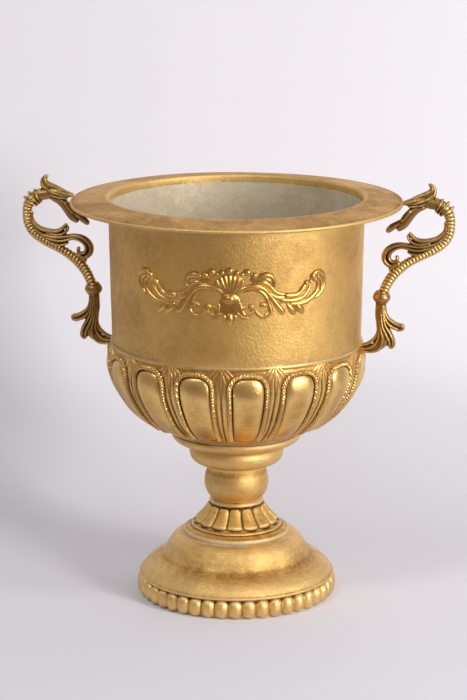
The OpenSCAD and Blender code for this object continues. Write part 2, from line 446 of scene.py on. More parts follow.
def patina_group() -> bpy.types.NodeTree:
    """Uneven brown bloom over the metal: cloudy stains, fine mottle and small dark specks."""

    def build(sk: Sketch, src: bpy.types.Node, out: bpy.types.Node) -> None:
        where = src.outputs["Where"]
        cloud = sk.window(sk.noise(where, 14.0, 6.0, 0.66, 0.8), 0.38, 0.62)
        mottle = sk.window(sk.noise(where, 110.0, 6.0, 0.75, 0.4), 0.38, 0.62)
        grain = sk.window(sk.noise(where, 480.0, 4.0, 0.75), 0.36, 0.64)
        speck = sk.window(sk.noise(where, 760.0, 3.0, 0.6), 0.60, 0.70)
        spots = sk.maths("MULTIPLY", speck, sk.window(sk.noise(where, 48.0, 3.0), 0.48, 0.62))
        body = sk.maths("MULTIPLY_ADD", cloud, 0.5, sk.maths("MULTIPLY", mottle, 0.3))
        body = sk.maths("MULTIPLY_ADD", grain, 0.3, body)
        sk.tree.links.new(body, out.inputs["Bloom"])
        sk.tree.links.new(mottle, out.inputs["Mottle"])
        sk.tree.links.new(grain, out.inputs["Grain"])
        sk.tree.links.new(spots, out.inputs["Specks"])

    return shader_group("patina", {"Where": Socket.VECTOR},
                        {"Bloom": Socket.FLOAT, "Mottle": Socket.FLOAT, "Grain": Socket.FLOAT,
                         "Specks": Socket.FLOAT}, build)


def scratch_group() -> bpy.types.NodeTree:
    """Fine hairline scratches that cross in three directions."""

    def build(sk: Sketch, src: bpy.types.Node, out: bpy.types.Node) -> None:
        where = src.outputs["Where"]
        total = None
        for turn in ((0.5, 0.2, 0.4), (-0.7, 0.5, 1.5), (0.2, -0.9, 2.4)):
            line = sk.noise(sk.stretched(where, (38.0, 1400.0, 520.0), turn), 1.0, 1.0, 0.4)
            patch = sk.window(sk.noise(where, 60.0 + 20.0 * turn[0], 2.0), 0.48, 0.62)
            hair = sk.maths("MULTIPLY", sk.window(line, 0.66, 0.76), patch)
            total = hair if total is None else sk.maths("ADD", total, hair, clamp=True)
        sk.tree.links.new(total, out.inputs["Lines"])

    return shader_group("hairlines", {"Where": Socket.VECTOR}, {"Lines": Socket.FLOAT}, build)


def lathe_group() -> bpy.types.NodeTree:
    """Rings left by the lathe or the polishing wheel, close together along the axis."""

    def build(sk: Sketch, src: bpy.types.Node, out: bpy.types.Node) -> None:
        where = src.outputs["Where"]
        fine = sk.noise(sk.stretched(where, (6.0, 6.0, 1500.0)), 1.0, 2.0, 0.6)
        broad = sk.noise(sk.stretched(where, (3.0, 3.0, 260.0)), 1.0, 2.0, 0.5)
        sk.tree.links.new(sk.maths("MULTIPLY_ADD", fine, 0.6, sk.maths("MULTIPLY", broad, 0.4)),
                          out.inputs["Rings"])

    return shader_group("lathe_rings", {"Where": Socket.VECTOR}, {"Rings": Socket.FLOAT}, build)


def begun(name: str) -> tuple[bpy.types.Material, Sketch, bpy.types.NodeSocket, bpy.types.Node]:
    """Starts a finish.

    Args:
        name: The material's name.

    Returns:
        The material, its sketch, the piece's own coordinates and the patina laid over them.
    """
    made = bpy.data.materials.new(name)
    made.use_nodes = True
    sk = Sketch(made.node_tree)
    where = sk.node("ShaderNodeTexCoord").outputs["Object"]
    patina = sk.node("ShaderNodeGroup", node_tree=patina_group())
    sk.tree.links.new(where, patina.inputs["Where"])
    return made, sk, where, patina


def residue_group() -> bpy.types.NodeTree:
    """Chalky polish left behind in seams and hollows, broken up by noise."""

    def build(sk: Sketch, src: bpy.types.Node, out: bpy.types.Node) -> None:
        where = src.outputs["Where"]
        crumbs = sk.window(sk.noise(where, 300.0, 5.0, 0.75), 0.36, 0.52)
        patches = sk.window(sk.noise(where, 30.0, 3.0, 0.6), 0.34, 0.52)
        mask = sk.maths("MULTIPLY", sk.maths("MULTIPLY", crumbs, patches), src.outputs["Seam"], clamp=True)
        sk.tree.links.new(mask, out.inputs["Chalk"])

    return shader_group("polish_residue", {"Where": Socket.VECTOR, "Seam": Socket.FLOAT},
                        {"Chalk": Socket.FLOAT}, build)


@dataclass(frozen=True)
class AgedBrass:
    """Brass with a brown bloom, rubbed crests, dark specks, hollows darkened with painted shade, and chalky seams.
    """

    name: str
    clean: Colour = (0.74, 0.44, 0.115)
    bloom: Colour = (0.36, 0.165, 0.034)
    # Near-black colour of the real dark specks and of the painted shade in the hollows.
    dark_speck_and_shade: Colour = (0.085, 0.036, 0.008)
    rubbed: Colour = (0.98, 0.70, 0.29)
    chalk: Colour = (0.62, 0.57, 0.46)
    bloom_amount: float = 0.90
    # Strength of the painted shade that darkens the hollows.
    hollow_shade_amount: float = 0.9
    crest_amount: float = 0.6
    chalk_amount: float = 0.8
    rough_clean: float = 0.38
    rough_bloom: float = 0.55
    grain: float = 0.50
    lathe: float = 0.0
    scratch: float = 0.35

    def material(self) -> bpy.types.Material:
        """Builds the material, or returns it if it is already made."""
        if self.name in bpy.data.materials:
            return bpy.data.materials[self.name]
        made, sk, where, patina = begun(self.name)
        hollow = sk.node("ShaderNodeAttribute", attribute_name="hollow").outputs["Fac"]
        crest = sk.node("ShaderNodeAttribute", attribute_name="crest").outputs["Fac"]
        seam = sk.node("ShaderNodeAttribute", attribute_name="seam").outputs["Fac"]
        lines = sk.node("ShaderNodeGroup", node_tree=scratch_group())
        sk.tree.links.new(where, lines.inputs["Where"])
        rings = sk.node("ShaderNodeGroup", node_tree=lathe_group())
        sk.tree.links.new(where, rings.inputs["Where"])
        chalk = sk.node("ShaderNodeGroup", {"Seam": seam}, node_tree=residue_group())
        sk.tree.links.new(where, chalk.inputs["Where"])

        bloom = sk.maths("MULTIPLY", patina.outputs["Bloom"], self.bloom_amount)
        colour = sk.blend(bloom, (*self.clean, 1), (*self.bloom, 1))
        worn = sk.maths("MULTIPLY", crest, self.crest_amount, clamp=True)
        colour = sk.blend(worn, colour, (*self.rubbed, 1))
        # Painted shade: hollows are darkened towards near black, together with the real dark specks of patina.
        specks_and_painted_shade = sk.maths("MULTIPLY_ADD", patina.outputs["Specks"], 0.55,
                          sk.maths("MULTIPLY", hollow, self.hollow_shade_amount), clamp=True)
        colour = sk.blend(specks_and_painted_shade, colour, (*self.dark_speck_and_shade, 1))
        scratched = sk.maths("MULTIPLY", lines.outputs["Lines"], self.scratch)
        colour = sk.blend(scratched, colour, (*self.rubbed, 1))
        dust = sk.maths("MULTIPLY", chalk.outputs["Chalk"], self.chalk_amount)
        colour = sk.blend(dust, colour, (*self.chalk, 1))

        rough = sk.maths("MULTIPLY_ADD", bloom, self.rough_bloom - self.rough_clean, self.rough_clean)
        rough = sk.maths("ADD", rough, sk.maths("MULTIPLY", hollow, 0.2))
        rough = sk.maths("ADD", rough, sk.maths("MULTIPLY", dust, 0.4), clamp=True)
        height = sk.maths("MULTIPLY_ADD", patina.outputs["Mottle"], 0.5, patina.outputs["Grain"])
        height = sk.maths("MULTIPLY", height, self.grain)
        height = sk.maths("MULTIPLY_ADD", rings.outputs["Rings"], self.lathe, height)
        height = sk.maths("SUBTRACT", height, sk.maths("MULTIPLY", scratched, 0.06))
        bump = sk.node("ShaderNodeBump", {"Height": height, "Strength": 0.6, "Distance": 0.0004})
        metal = sk.maths("SUBTRACT", 1.0, dust, clamp=True)
        shader = sk.node("ShaderNodeBsdfPrincipled", {"Base Color": colour, "Roughness": rough,
                                                     "Metallic": metal, "Normal": bump.outputs[0]})
        sk.node("ShaderNodeOutputMaterial", {"Surface": shader.outputs[0]})
        return made


@dataclass(frozen=True)
class WornTin:
    """Grey tinning that has worn through to the brass in specks."""

    name: str
    tin: Colour = (0.74, 0.67, 0.53)
    dull: Colour = (0.56, 0.48, 0.33)
    brass: Colour = (0.72, 0.52, 0.22)
    rough: float = 0.52

    def material(self) -> bpy.types.Material:
        """Builds the material, or returns it if it is already made."""
        if self.name in bpy.data.materials:
            return bpy.data.materials[self.name]
        made, sk, where, patina = begun(self.name)
        worn = sk.maths("MULTIPLY", sk.window(sk.noise(where, 420.0, 4.0, 0.8), 0.56, 0.68),
                        sk.window(sk.noise(where, 22.0, 4.0, 0.6), 0.40, 0.66))
        colour = sk.blend(patina.outputs["Bloom"], (*self.tin, 1), (*self.dull, 1))
        colour = sk.blend(worn, colour, (*self.brass, 1))
        rough = sk.maths("MULTIPLY_ADD", patina.outputs["Mottle"], 0.16, self.rough - 0.08)
        bump = sk.node("ShaderNodeBump", {"Height": patina.outputs["Mottle"], "Strength": 0.5,
                                         "Distance": 0.0003})
        shader = sk.node("ShaderNodeBsdfPrincipled", {"Base Color": colour, "Roughness": rough,
                                                     "Metallic": 0.3, "Normal": bump.outputs[0]})
        sk.node("ShaderNodeOutputMaterial", {"Surface": shader.outputs[0]})
        return made


@dataclass(frozen=True)
class DullSteel:
    """Oxidised steel of the rod, its nuts and washers."""

    name: str
    bare: Colour = (0.36, 0.35, 0.33)
    rust: Colour = (0.20, 0.11, 0.06)

    def material(self) -> bpy.types.Material:
        """Builds the material, or returns it if it is already made."""
        if self.name in bpy.data.materials:
            return bpy.data.materials[self.name]
        made, sk, _, patina = begun(self.name)
        rusty = sk.window(patina.outputs["Bloom"], 0.45, 0.8)
        colour = sk.blend(rusty, (*self.bare, 1), (*self.rust, 1))
        rough = sk.maths("MULTIPLY_ADD", rusty, 0.35, 0.38)
        bump = sk.node("ShaderNodeBump", {"Height": patina.outputs["Mottle"], "Strength": 0.5,
                                         "Distance": 0.0003})
        shader = sk.node("ShaderNodeBsdfPrincipled", {"Base Color": colour, "Roughness": rough,
                                                     "Metallic": 0.9, "Normal": bump.outputs[0]})
        sk.node("ShaderNodeOutputMaterial", {"Surface": shader.outputs[0]})
        return made


SPUN = AgedBrass("aged_spun_brass", clean=(0.72, 0.42, 0.10), bloom=(0.33, 0.155, 0.03), rough_clean=0.42,
                 rough_bloom=0.60, lathe=0.05, chalk=(0.22, 0.18, 0.10), chalk_amount=0.6)
CHASED = AgedBrass("aged_chased_brass", clean=(0.82, 0.49, 0.135), chalk=(0.36, 0.32, 0.20), chalk_amount=0.6,
                   hollow_shade_amount=1.15, grain=0.25, rough_clean=0.26, rough_bloom=0.42)
PRESSED = AgedBrass("aged_pressed_brass", clean=(0.80, 0.49, 0.14), bloom_amount=0.6, hollow_shade_amount=1.1,
                    rough_clean=0.28, rough_bloom=0.42, grain=0.15)
CAST = AgedBrass("aged_cast_brass", clean=(0.46, 0.27, 0.08), bloom=(0.20, 0.10, 0.028), hollow_shade_amount=1.6,
                 crest_amount=0.7, rough_clean=0.28, rough_bloom=0.44, grain=0.25)
TURNED = AgedBrass("aged_turned_brass", lathe=0.12)
BEADS = AgedBrass("aged_bead_brass", clean=(0.82, 0.52, 0.165), hollow_shade_amount=1.6, rough_clean=0.26,
                  rough_bloom=0.42)
# The foot and neck brass is painted lighter than the other brass, as painted light standing for the high lights on
# them; its grain and scratches are real wear.
LIGHTER_FOOT_BRASS = AgedBrass("aged_foot_brass", clean=(0.92, 0.58, 0.175), bloom=(0.34, 0.15, 0.03), hollow_shade_amount=1.2,
                 rough_clean=0.30, rough_bloom=0.48, grain=0.8, scratch=0.8, lathe=0.05)
RAW = AgedBrass("aged_raw_brass", clean=(0.50, 0.34, 0.15), bloom=(0.30, 0.19, 0.08), bloom_amount=1.0,
                rough_clean=0.45, rough_bloom=0.6)
SCREW = AgedBrass("aged_screw_brass", clean=(0.55, 0.42, 0.22), rough_clean=0.4)
TIN = WornTin("worn_tin")
STEEL = DullSteel("dull_steel")


# ---------------------------------------------------------------------------------------------
# Cup
# ---------------------------------------------------------------------------------------------

def ripple(places: np.ndarray, amount: float) -> np.ndarray:
    """Slight unevenness of hand-finished sheet metal, as a change of radius at each place."""
    turn = np.arctan2(places[:, 1], places[:, 0])
    z = places[:, 2]
    wave = (np.sin(2 * turn + 0.7 + 0.010 * z) + 0.6 * np.sin(5 * turn - 0.03 * z + 2.1)
            + 0.35 * np.sin(9 * turn + 0.05 * z) + 0.25 * np.sin(14 * turn - 0.07 * z + 0.4))
    return amount * wave / 2.2


def pushed_out(places: np.ndarray, amount: np.ndarray) -> np.ndarray:
    """Places moved away from the urn's axis by an amount each."""
    radius = np.hypot(places[:, 0], places[:, 1])
    factor = 1 + amount / np.maximum(radius, 1e-6)
    return places * np.stack([factor, factor, np.ones_like(factor)], axis=1)


def tin_inside(bm: bmesh.types.BMesh, below: float) -> None:
    """Gives the faces that look inwards, and lie under a height, the second material."""
    for face in bm.faces:
        centre = face.calc_center_median()
        outward = Vector((centre.x, centre.y, 0)).normalized()
        if centre.z < below and (face.normal.dot(outward) < -0.25 or face.normal.z > 0.8):
            face.material_index = 1


@dataclass
class Cup:
    """The spun upper part: the wall, its drooping flange and the rolled edge."""

    steps: int = 240
    sheet: float = 1.5
    mouth_round: float = 3.0
    droop: float = 5.6
    lip: float = 1.65
    unevenness: float = 0.16

    def flange(self) -> bpy.types.Object:
        """Builds the flange, with its rounded mouth and rolled lip."""
        seat = Seat.of("rim_flange")
        wall = seat.radius - 35.0
        inner = wall - self.sheet
        roll = (seat.radius - self.lip, seat.top - self.droop)
        top = flowing([(inner + self.mouth_round, seat.top), (128.0, seat.top - 0.75), (139.0, seat.top - 2.1),
                       (147.0, seat.top - 3.4), (roll[0] - 0.6, roll[1] + self.lip - 0.12)], 1.2)
        under = flowing([(roll[0] - 1.5, roll[1] + 0.1), (146.0, seat.top - 4.9), (136.0, seat.top - 3.4),
                         (124.0, seat.top - 2.0), (wall + 1.4, seat.top - 2.2), (wall, seat.top - 4.4)], 1.2)
        outline = (arc((inner + self.mouth_round, seat.top - self.mouth_round), self.mouth_round, 180, 95, 8)
                   + [tuple(p) for p in top] + arc(roll, self.lip, 88, -150, 14)
                   + [tuple(p) for p in under] + [(wall, seat.base), (inner, seat.base)])

        def settle(mesh: bpy.types.Mesh) -> None:
            places = points_of(mesh)
            turn = np.arctan2(places[:, 1], places[:, 0])
            radius = np.hypot(places[:, 0], places[:, 1])
            free = np.clip((radius - wall) / 35.0, 0, 1)
            lift = free * (0.14 * np.sin(3 * turn + 1.0) + 0.09 * np.sin(7 * turn) - 0.18)
            places[:, 2] += np.minimum(lift, 0.0)
            move_points(mesh, places)
            mark(mesh, "seam", np.exp(-((places[:, 2] - seat.base) / 1.2) ** 2))

        piece = finished("flange", turned(outline, self.steps), [SPUN.material()], shape=settle)
        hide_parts("rim_flange")
        return piece

    def wall(self) -> bpy.types.Object:
        """Builds the wall: brass outside, tinned inside."""
        seat = Seat.of("cup_wall")
        lap = Seat.of("gadroon_bowl").top
        foot_r = seat.radius - 2.6
        outer = evenly(np.array([(seat.radius, seat.top), (foot_r, lap), (foot_r, seat.base)]), 4.0)
        inner = evenly(np.array([(foot_r - self.sheet, seat.base), (foot_r - self.sheet, lap),
                                 (seat.radius - self.sheet, seat.top)]), 6.0)
        bm = turned([tuple(p) for p in outer] + [tuple(p) for p in inner], self.steps)
        tin_inside(bm, seat.top)

        def settle(mesh: bpy.types.Mesh) -> None:
            places = points_of(mesh)
            held = np.clip((seat.top - places[:, 2]) / 15, 0, 1) * np.clip((places[:, 2] - lap) / 15, 0, 1)
            move_points(mesh, pushed_out(places, held * ripple(places, self.unevenness)))
            near = np.abs(points_of(mesh)[:, 2] - lap)
            mark(mesh, "seam", np.exp(-(near / 2.5) ** 2)
                 + 0.3 * np.exp(-((seat.top - places[:, 2]) / 3) ** 2))

        piece = finished("wall", bm, [SPUN.material(), TIN.material()], shape=settle)
        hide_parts("cup_wall")
        return piece

    def build(self) -> None:
        """Builds the cup's pieces."""
        self.flange()
        self.wall()


# ---------------------------------------------------------------------------------------------
# Bowl
# ---------------------------------------------------------------------------------------------

@dataclass
class GadroonBowl:
    """The chased bowl: gadroons under rope borders, with a leaf at the head of each gap."""

    count: int = 15
    first: float = 13.2
    steps_each: int = 34
    lobe_half: float = 7.1
    lobe_top: float = 10.0
    arch: float = 14.0
    lobe_low: float = 90.0
    toe: float = 9.0
    roundness: float = 2.6
    rise: float = 3.1
    rope_at: float = 1.17
    rope_radius: float = 2.0
    rope_pitch: float = 2.9
    sheet: float = 1.5
    curve: np.ndarray = field(init=False)
    top: float = field(init=False)

    def __post_init__(self) -> None:
        """Takes the bowl's place from the frame and lays out its ground curve."""
        seat = Seat.of("gadroon_bowl")
        self.top = seat.top
        self.base = seat.base
        rim = seat.radius - 2.1
        self.curve = flowing([(rim - 0.5, seat.top), (rim - 0.1, seat.top - 9), (rim - 0.1, seat.top - 18),
                              (rim - 1.7, seat.top - 32), (109.0, seat.top - 47), (97.6, seat.top - 63),
                              (81.6, seat.top - 76), (66.0, seat.top - 85), (58.0, seat.base)], 1.05)

    def contour(self, along: np.ndarray, turn: np.ndarray) -> np.ndarray:
        """How far a place lies from a gadroon's middle: 1 on its outline.

        Args:
            along: Distance down the ground curve, in millimetres.
            turn: Angle from the gadroon's middle, in degrees.

        Returns:
            The rounded distance.
        """
        high = (self.lobe_top + self.arch - along) / self.arch
        low = (along - (self.lobe_low - self.toe)) / self.toe
        ends = np.maximum(np.maximum(high, low), 0)
        power = self.roundness
        return (np.abs(turn / self.lobe_half) ** power + ends ** power) ** (1 / power)

    def relief(self, along: np.ndarray, turn: np.ndarray) -> np.ndarray:
        """Height of the chased work over the ground curve, in millimetres."""
        away = self.contour(along, turn)
        swell = self.rise - 0.010 * (along - 20) + 0.9 * np.exp(-((along - 25) / 9) ** 2)
        lobe = swell * np.clip(1 - np.clip(away, 0, 1) ** 2.6, 0, 1) ** 0.55
        within = np.clip((along - 5) / 4, 0, 1) * np.clip((100 - along) / 6, 0, 1)
        trough = -0.55 * np.exp(-((away - 1.02) / 0.05) ** 2) - 0.45 * np.exp(-((away - 1.34) / 0.06) ** 2)
        gap = 180 / self.count - np.abs(turn)
        groove = -0.75 * np.exp(-(gap / 0.28) ** 2) * np.clip((along - 14) / 5, 0, 1)
        strip = 0.45 * np.exp(-((gap - 1.3) / 0.55) ** 2) * np.clip((along - 16) / 6, 0, 1)
        band = 0.35 * np.exp(-((along - 1.6) / 1.0) ** 2) - 0.35 * np.exp(-((along - 3.6) / 0.7) ** 2)
        return lobe + within * (trough + groove + strip) + band

    def on_ground(self, along: np.ndarray, turn: np.ndarray, lift: np.ndarray | float) -> np.ndarray:
        """Places on the bowl's ground.

        Args:
            along: Distance down the ground curve.
            turn: Angle from the front towards +X, in degrees.
            lift: Height over the ground, square to it.

        Returns:
            One row a place.
        """
        steps = np.hypot(*np.diff(self.curve, axis=0).T)
        run = np.concatenate([[0], np.cumsum(steps)])
        out = beside(self.curve, 1.0) - self.curve
        radius = np.interp(along, run, self.curve[:, 0]) + lift * np.interp(along, run, out[:, 0])
        height = np.interp(along, run, self.curve[:, 1]) + lift * np.interp(along, run, out[:, 1])
        angle = np.radians(turn)
        return np.stack([radius * np.sin(angle), -radius * np.cos(angle), height], axis=1)

    def shell(self) -> bpy.types.Object:
        """Builds the bowl's shell and raises the chased work on its outside."""
        bore = 4.5
        inner = beside(self.curve, -self.sheet)
        inner = evenly(inner[::6], 5.0)[::-1]
        lap_radius = 115.8
        inner = [(min(radius, lap_radius) if height > self.top - 9 else radius, height)
                 for radius, height in inner if height > self.base + 3]
        outline = [tuple(p) for p in self.curve] + [(30.0, self.base), (bore, self.base), (bore, self.base + 2),
                                                    (40.0, self.base + 2)] + inner
        bm = turned(outline, self.count * self.steps_each)
        tin_inside(bm, self.top - 2)
        run = np.concatenate([[0], np.cumsum(np.hypot(*np.diff(self.curve, axis=0).T))])

        def chase(mesh: bpy.types.Mesh) -> None:
            places = points_of(mesh)
            nearest, outside = nearest_on(self.curve, places)
            angle, turn = from_middle(places, self.count, self.first)
            along = run[nearest]
            chased = self.on_ground(along, angle, self.relief(along, turn))
            places[outside] = chased[outside]
            move_points(mesh, places)
            mark(mesh, "seam", np.where(outside, np.exp(-(along / 1.8) ** 2)
                                        + 0.5 * np.exp(-((self.contour(along, turn) - 1.34) / 0.1) ** 2)
                                        + np.clip((along - 96) / 8, 0, 0.5), 0))

        piece = finished("bowl", bm, [CHASED.material(), TIN.material()], shape=chase, reach=24, depth=0.55)
        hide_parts("gadroon_bowl")
        return piece

    def rope_path(self) -> np.ndarray:
        """One rope's path round a gadroon, as distance down the curve and angle from its middle."""
        half = self.rope_at * self.lobe_half
        low = self.lobe_low + 1
        shoulder = self.lobe_top + self.arch
        sweep = np.radians(np.linspace(0, 180, 60))
        power = 2 / self.roundness
        turn = half * np.sign(np.cos(sweep)) * np.abs(np.cos(sweep)) ** power
        along = shoulder - self.rope_at * self.arch * np.sin(sweep) ** power
        rise = np.linspace(low, shoulder + 0.5, 40)
        return np.concatenate([np.stack([rise, np.full(40, half)], 1), np.stack([along, turn], 1),
                               np.stack([rise[::-1], np.full(40, -half)], 1)])

    def ropes(self) -> bpy.types.Object:
        """Builds the twisted rope border of every gadroon."""
        path = self.rope_path()
        centre = self.on_ground(path[:, 0], path[:, 1], 0.75)
        steps = np.linalg.norm(np.diff(centre, axis=0), axis=1)
        run = np.concatenate([[0], np.cumsum(steps)])
        count = int(run[-1] / 0.52)
        at = np.linspace(0, run[-1], count)
        centre = np.stack([np.interp(at, run, centre[:, k]) for k in range(3)], 1)
        outer = self.on_ground(np.interp(at, run, path[:, 0]), np.interp(at, run, path[:, 1]), 1.75)
        normal = outer - self.on_ground(np.interp(at, run, path[:, 0]), np.interp(at, run, path[:, 1]), 0.75)
        ahead = np.gradient(centre, axis=0)
        ahead /= np.linalg.norm(ahead, axis=1)[:, None]
        side = np.cross(ahead, normal)
        side /= np.linalg.norm(side, axis=1)[:, None]
        twist = 2 * math.pi / 3 / self.rope_pitch
        fade = np.clip(np.minimum(at, run[-1] - at) / 4, 0.25, 1)

        def strand(row: np.ndarray, turn: np.ndarray) -> np.ndarray:
            lobes = np.abs(np.cos(1.5 * (turn - twist * at[row])))
            size = self.rope_radius * fade[row] * (0.50 + 0.66 * lobes ** 0.8)
            return (side[row] * (size * np.cos(turn))[:, None] + normal[row] * (size * np.sin(turn))[:, None])

        bm = tube(centre, 12, strand)
        copies_round(bm, self.count, self.first)
        piece = finished("rope_borders", bm, [CHASED.material()], reach=5, depth=0.22)
        return piece

    def leaves(self) -> bpy.types.Object:
        """Builds the leaf at the head of each gap: a middle vein with three blades a side."""
        middle = 180 / self.count
        strokes = [[(2.5, 0.0, 0.9), (8, 0.0, 1.3), (16, 0.0, 1.0), (24, 0.0, 0.4)]]
        for side in (-1, 1):
            strokes += [
                [(2.2, side * 0.7, 0.7), (5, side * 1.7, 1.15), (9, side * 3.0, 0.9), (12.5, side * 3.8, 0.4)],
                [(2.2, side * 2.0, 0.7), (4.5, side * 3.2, 1.1), (7.2, side * 4.7, 0.8), (9, side * 5.6, 0.4)],
                [(6, side * 0.5, 0.5), (12, side * 1.3, 0.9), (18, side * 1.9, 0.6), (22, side * 2.1, 0.3)],
            ]
        blades = []
        for stroke in strokes:
            rows = flowing([(a, t * 2.0, w) for a, t, w in stroke], 0.8)
            centre = self.on_ground(rows[:, 0], middle + rows[:, 1] / 2.0, 0.1)
            raised = self.on_ground(rows[:, 0], middle + rows[:, 1] / 2.0, 1.1) - centre
            ahead = np.gradient(centre, axis=0)
            side_way = np.cross(ahead, raised)
            side_way /= np.linalg.norm(side_way, axis=1)[:, None]

            def blade(row: np.ndarray, turn: np.ndarray, rows=rows, side_way=side_way,
                      raised=raised) -> np.ndarray:
                width = rows[row, 2]
                return (side_way[row] * (width * np.cos(turn))[:, None]
                        + raised[row] * (0.85 * width * np.sin(turn))[:, None])

            blades.append(tube(centre, 8, blade))
        bm = joined(blades)
        copies_round(bm, self.count, self.first)
        piece = finished("gap_leaves", bm, [CHASED.material()], reach=4, depth=0.3)
        return piece

    def build(self) -> None:
        """Builds the bowl's pieces."""
        self.shell()
        self.ropes()
        self.leaves()


# ---------------------------------------------------------------------------------------------
# Garlands
# ---------------------------------------------------------------------------------------------

@dataclass
class Garland:
    """Pressed garland, drawn flat as strokes of width and height, then bent round the wall."""

    node: str
    turn: float
    wall_taper: float = 2.6 / 127.0
    fullness: float = 1.5
    voxel: float = 0.42

    def strokes(self) -> list[list[tuple[float, float, float, float]]]:
        """Strokes of the right half: distance from the middle, height, half width and height off the wall."""
        fan = [[(0.25 * x, 312, 0.6, 1), (0.55 * x, 318, 1.1, 1.7), (0.85 * x, tip - 4, 1.5, 2.1),
                (x, tip, 1.1, 1.5)] for x, tip in ((0, 329), (4.2, 328.6), (8.2, 327.2), (12, 324.6))]
        scroll = [
            [(6, 313.4, 0.8, 1.2), (11, 316.4, 1.4, 2), (17, 318.4, 1.8, 2.5), (23, 318.6, 1.9, 2.6),
             (29, 317.2, 1.7, 2.4), (33.5, 313.6, 1.5, 2.1), (37.5, 308.5, 1.4, 1.9), (40.6, 304.5, 1.6, 2),
             (44, 300, 2, 2.3), (47.5, 295.6, 2.3, 2.3), (49.8, 293.2, 1.5, 1.6)],
            [(13, 314.2, 0.7, 1), (19, 315.8, 1, 1.4), (25, 315.4, 1.1, 1.6), (30, 312.4, 1.2, 1.7),
             (33.6, 307.4, 1.3, 1.8), (35.4, 302, 1.4, 1.9), (37, 297.4, 1.6, 2.1), (35.2, 293.6, 1.7, 2.2),
             (31, 291.4, 1.7, 2.2), (27.2, 292.4, 1.6, 2), (24.4, 295, 1.3, 1.7), (22.4, 297.6, 0.9, 1.2)],
            [(33.6, 300.8, 1.1, 1.6), (30.6, 302.2, 1.8, 2.6), (27.6, 301.6, 1.2, 1.7)],
            [(15.6, 301, 0.8, 1.2), (12, 299, 1.2, 1.7), (10.8, 295.8, 1.3, 1.8), (13.6, 293.2, 1.3, 1.8),
             (18.2, 294, 1.3, 1.7), (21.4, 296.6, 1, 1.4)],
            [(16.6, 290.6, 0.8, 1.2), (12.6, 290.8, 1.3, 1.7), (9.4, 292.6, 1.3, 1.7), (6.6, 294.6, 1, 1.4)],
        ]
        volute = [
            [(26, 327.6, 1.1, 1.5), (29.5, 328.6, 2, 2.5), (34, 328.6, 2.1, 2.6), (37.6, 327.2, 1.7, 2.2),
             (39.8, 324.2, 1.4, 1.9), (40.2, 320, 1.2, 1.6), (39, 316.6, 0.8, 1.2)],
            [(27, 324.6, 0.8, 1.2), (32, 325.2, 1.3, 1.7), (36, 323.6, 1.3, 1.7), (36.4, 320.6, 1.2, 1.6)],
            [(24.5, 320.4, 0.8, 1.2), (29, 322, 1.5, 2.2), (33, 321.2, 1.4, 2), (37, 317.6, 1.1, 1.5),
             (41, 313.6, 1.2, 1.6), (46, 311, 1.3, 1.7), (50, 310.4, 1, 1.3)],
            [(35, 314, 0.7, 1), (39.6, 309.8, 1.1, 1.5), (44.6, 307.6, 1.2, 1.6), (49.4, 307.4, 0.9, 1.2)],
        ]
        arm = [
            [(50.8, 309.2, 1.8, 2.4), (55, 308.8, 2.2, 2.8), (60, 308.8, 2, 2.6), (64.6, 310.4, 2, 2.6),
             (68, 314, 2, 2.6), (70.2, 317.2, 1.8, 2.4)],
            [(47, 305.6, 0.9, 1.2), (53, 304.6, 1.4, 1.8), (60, 304.2, 1.5, 2), (66.4, 305.6, 1.8, 2.3),
             (70.6, 308.6, 1.9, 2.4), (74.2, 312.8, 1.7, 2.2), (75.6, 316, 1.3, 1.7)],
            [(56, 301.2, 1, 1.3), (64, 300.8, 1.6, 2.1), (71.4, 302, 1.9, 2.4), (76.6, 304.6, 1.9, 2.4),
             (81.4, 308.4, 1.8, 2.3), (84.2, 313, 1.6, 2.1), (84.4, 317.6, 1.5, 2), (82.4, 320.8, 1.4, 1.9),
             (79.6, 320.4, 1.2, 1.6)],
            [(80, 303.6, 1, 1.3), (86.4, 307, 1.5, 1.9), (90.6, 312.4, 1.7, 2.1), (92.2, 318.4, 1.8, 2.2),
             (91, 323.6, 1.8, 2.2), (87, 327, 1.9, 2.4), (82.6, 327.2, 1.9, 2.5), (79.4, 325, 2.3, 2.9)],
            [(88.2, 311, 0.8, 1), (88.6, 317, 1.2, 1.5), (87.6, 321.6, 1.4, 1.8), (84, 324, 1.3, 1.7)],
        ]
        leaflets = [[(x, 301.4, 1, 1.4), (x + 3, 298, 2.1, 2.4), (x + 6.2, 294.4, 2.3, 2.4),
                     (x + 8.2, 292, 1.5, 1.6)] for x in (52.4, 60.8)]
        drop = [
            [(9.7, 302.6, 0.9, 1.3), (10.6, 297.6, 1.3, 1.8), (13, 293.8, 1.3, 1.7), (16, 291.6, 0.8, 1.1)],
            [(0, 293.6, 1.7, 2.3), (0.2, 289.6, 2.1, 2.8), (0, 285.8, 1.5, 1.9), (0, 283.2, 0.6, 0.9)],
            [(5, 292.6, 1.4, 1.8), (3.9, 288.8, 1.2, 1.5), (2.2, 286.2, 0.8, 1.1)],
        ]
        return fan + scroll + volute + arm + leaflets + drop

    def beads(self) -> list[tuple[float, float, float, float]]:
        """Round bosses of the right half: distance from the middle, height, radius and height off the wall."""
        crown = [(0, 333.2, 3.4, 3), (6.6, 331.6, 2.6, 2.6), (11.2, 330.2, 2, 2.2), (15.8, 331.8, 3.4, 3),
                 (22, 328.8, 3.1, 2.8)]
        arm = [(71.6, 319, 2.7, 3), (78.8, 324.4, 3.4, 3.4), (76, 320, 2.1, 2.5), (19.2, 300.6, 3.1, 3.2)]
        return crown + arm

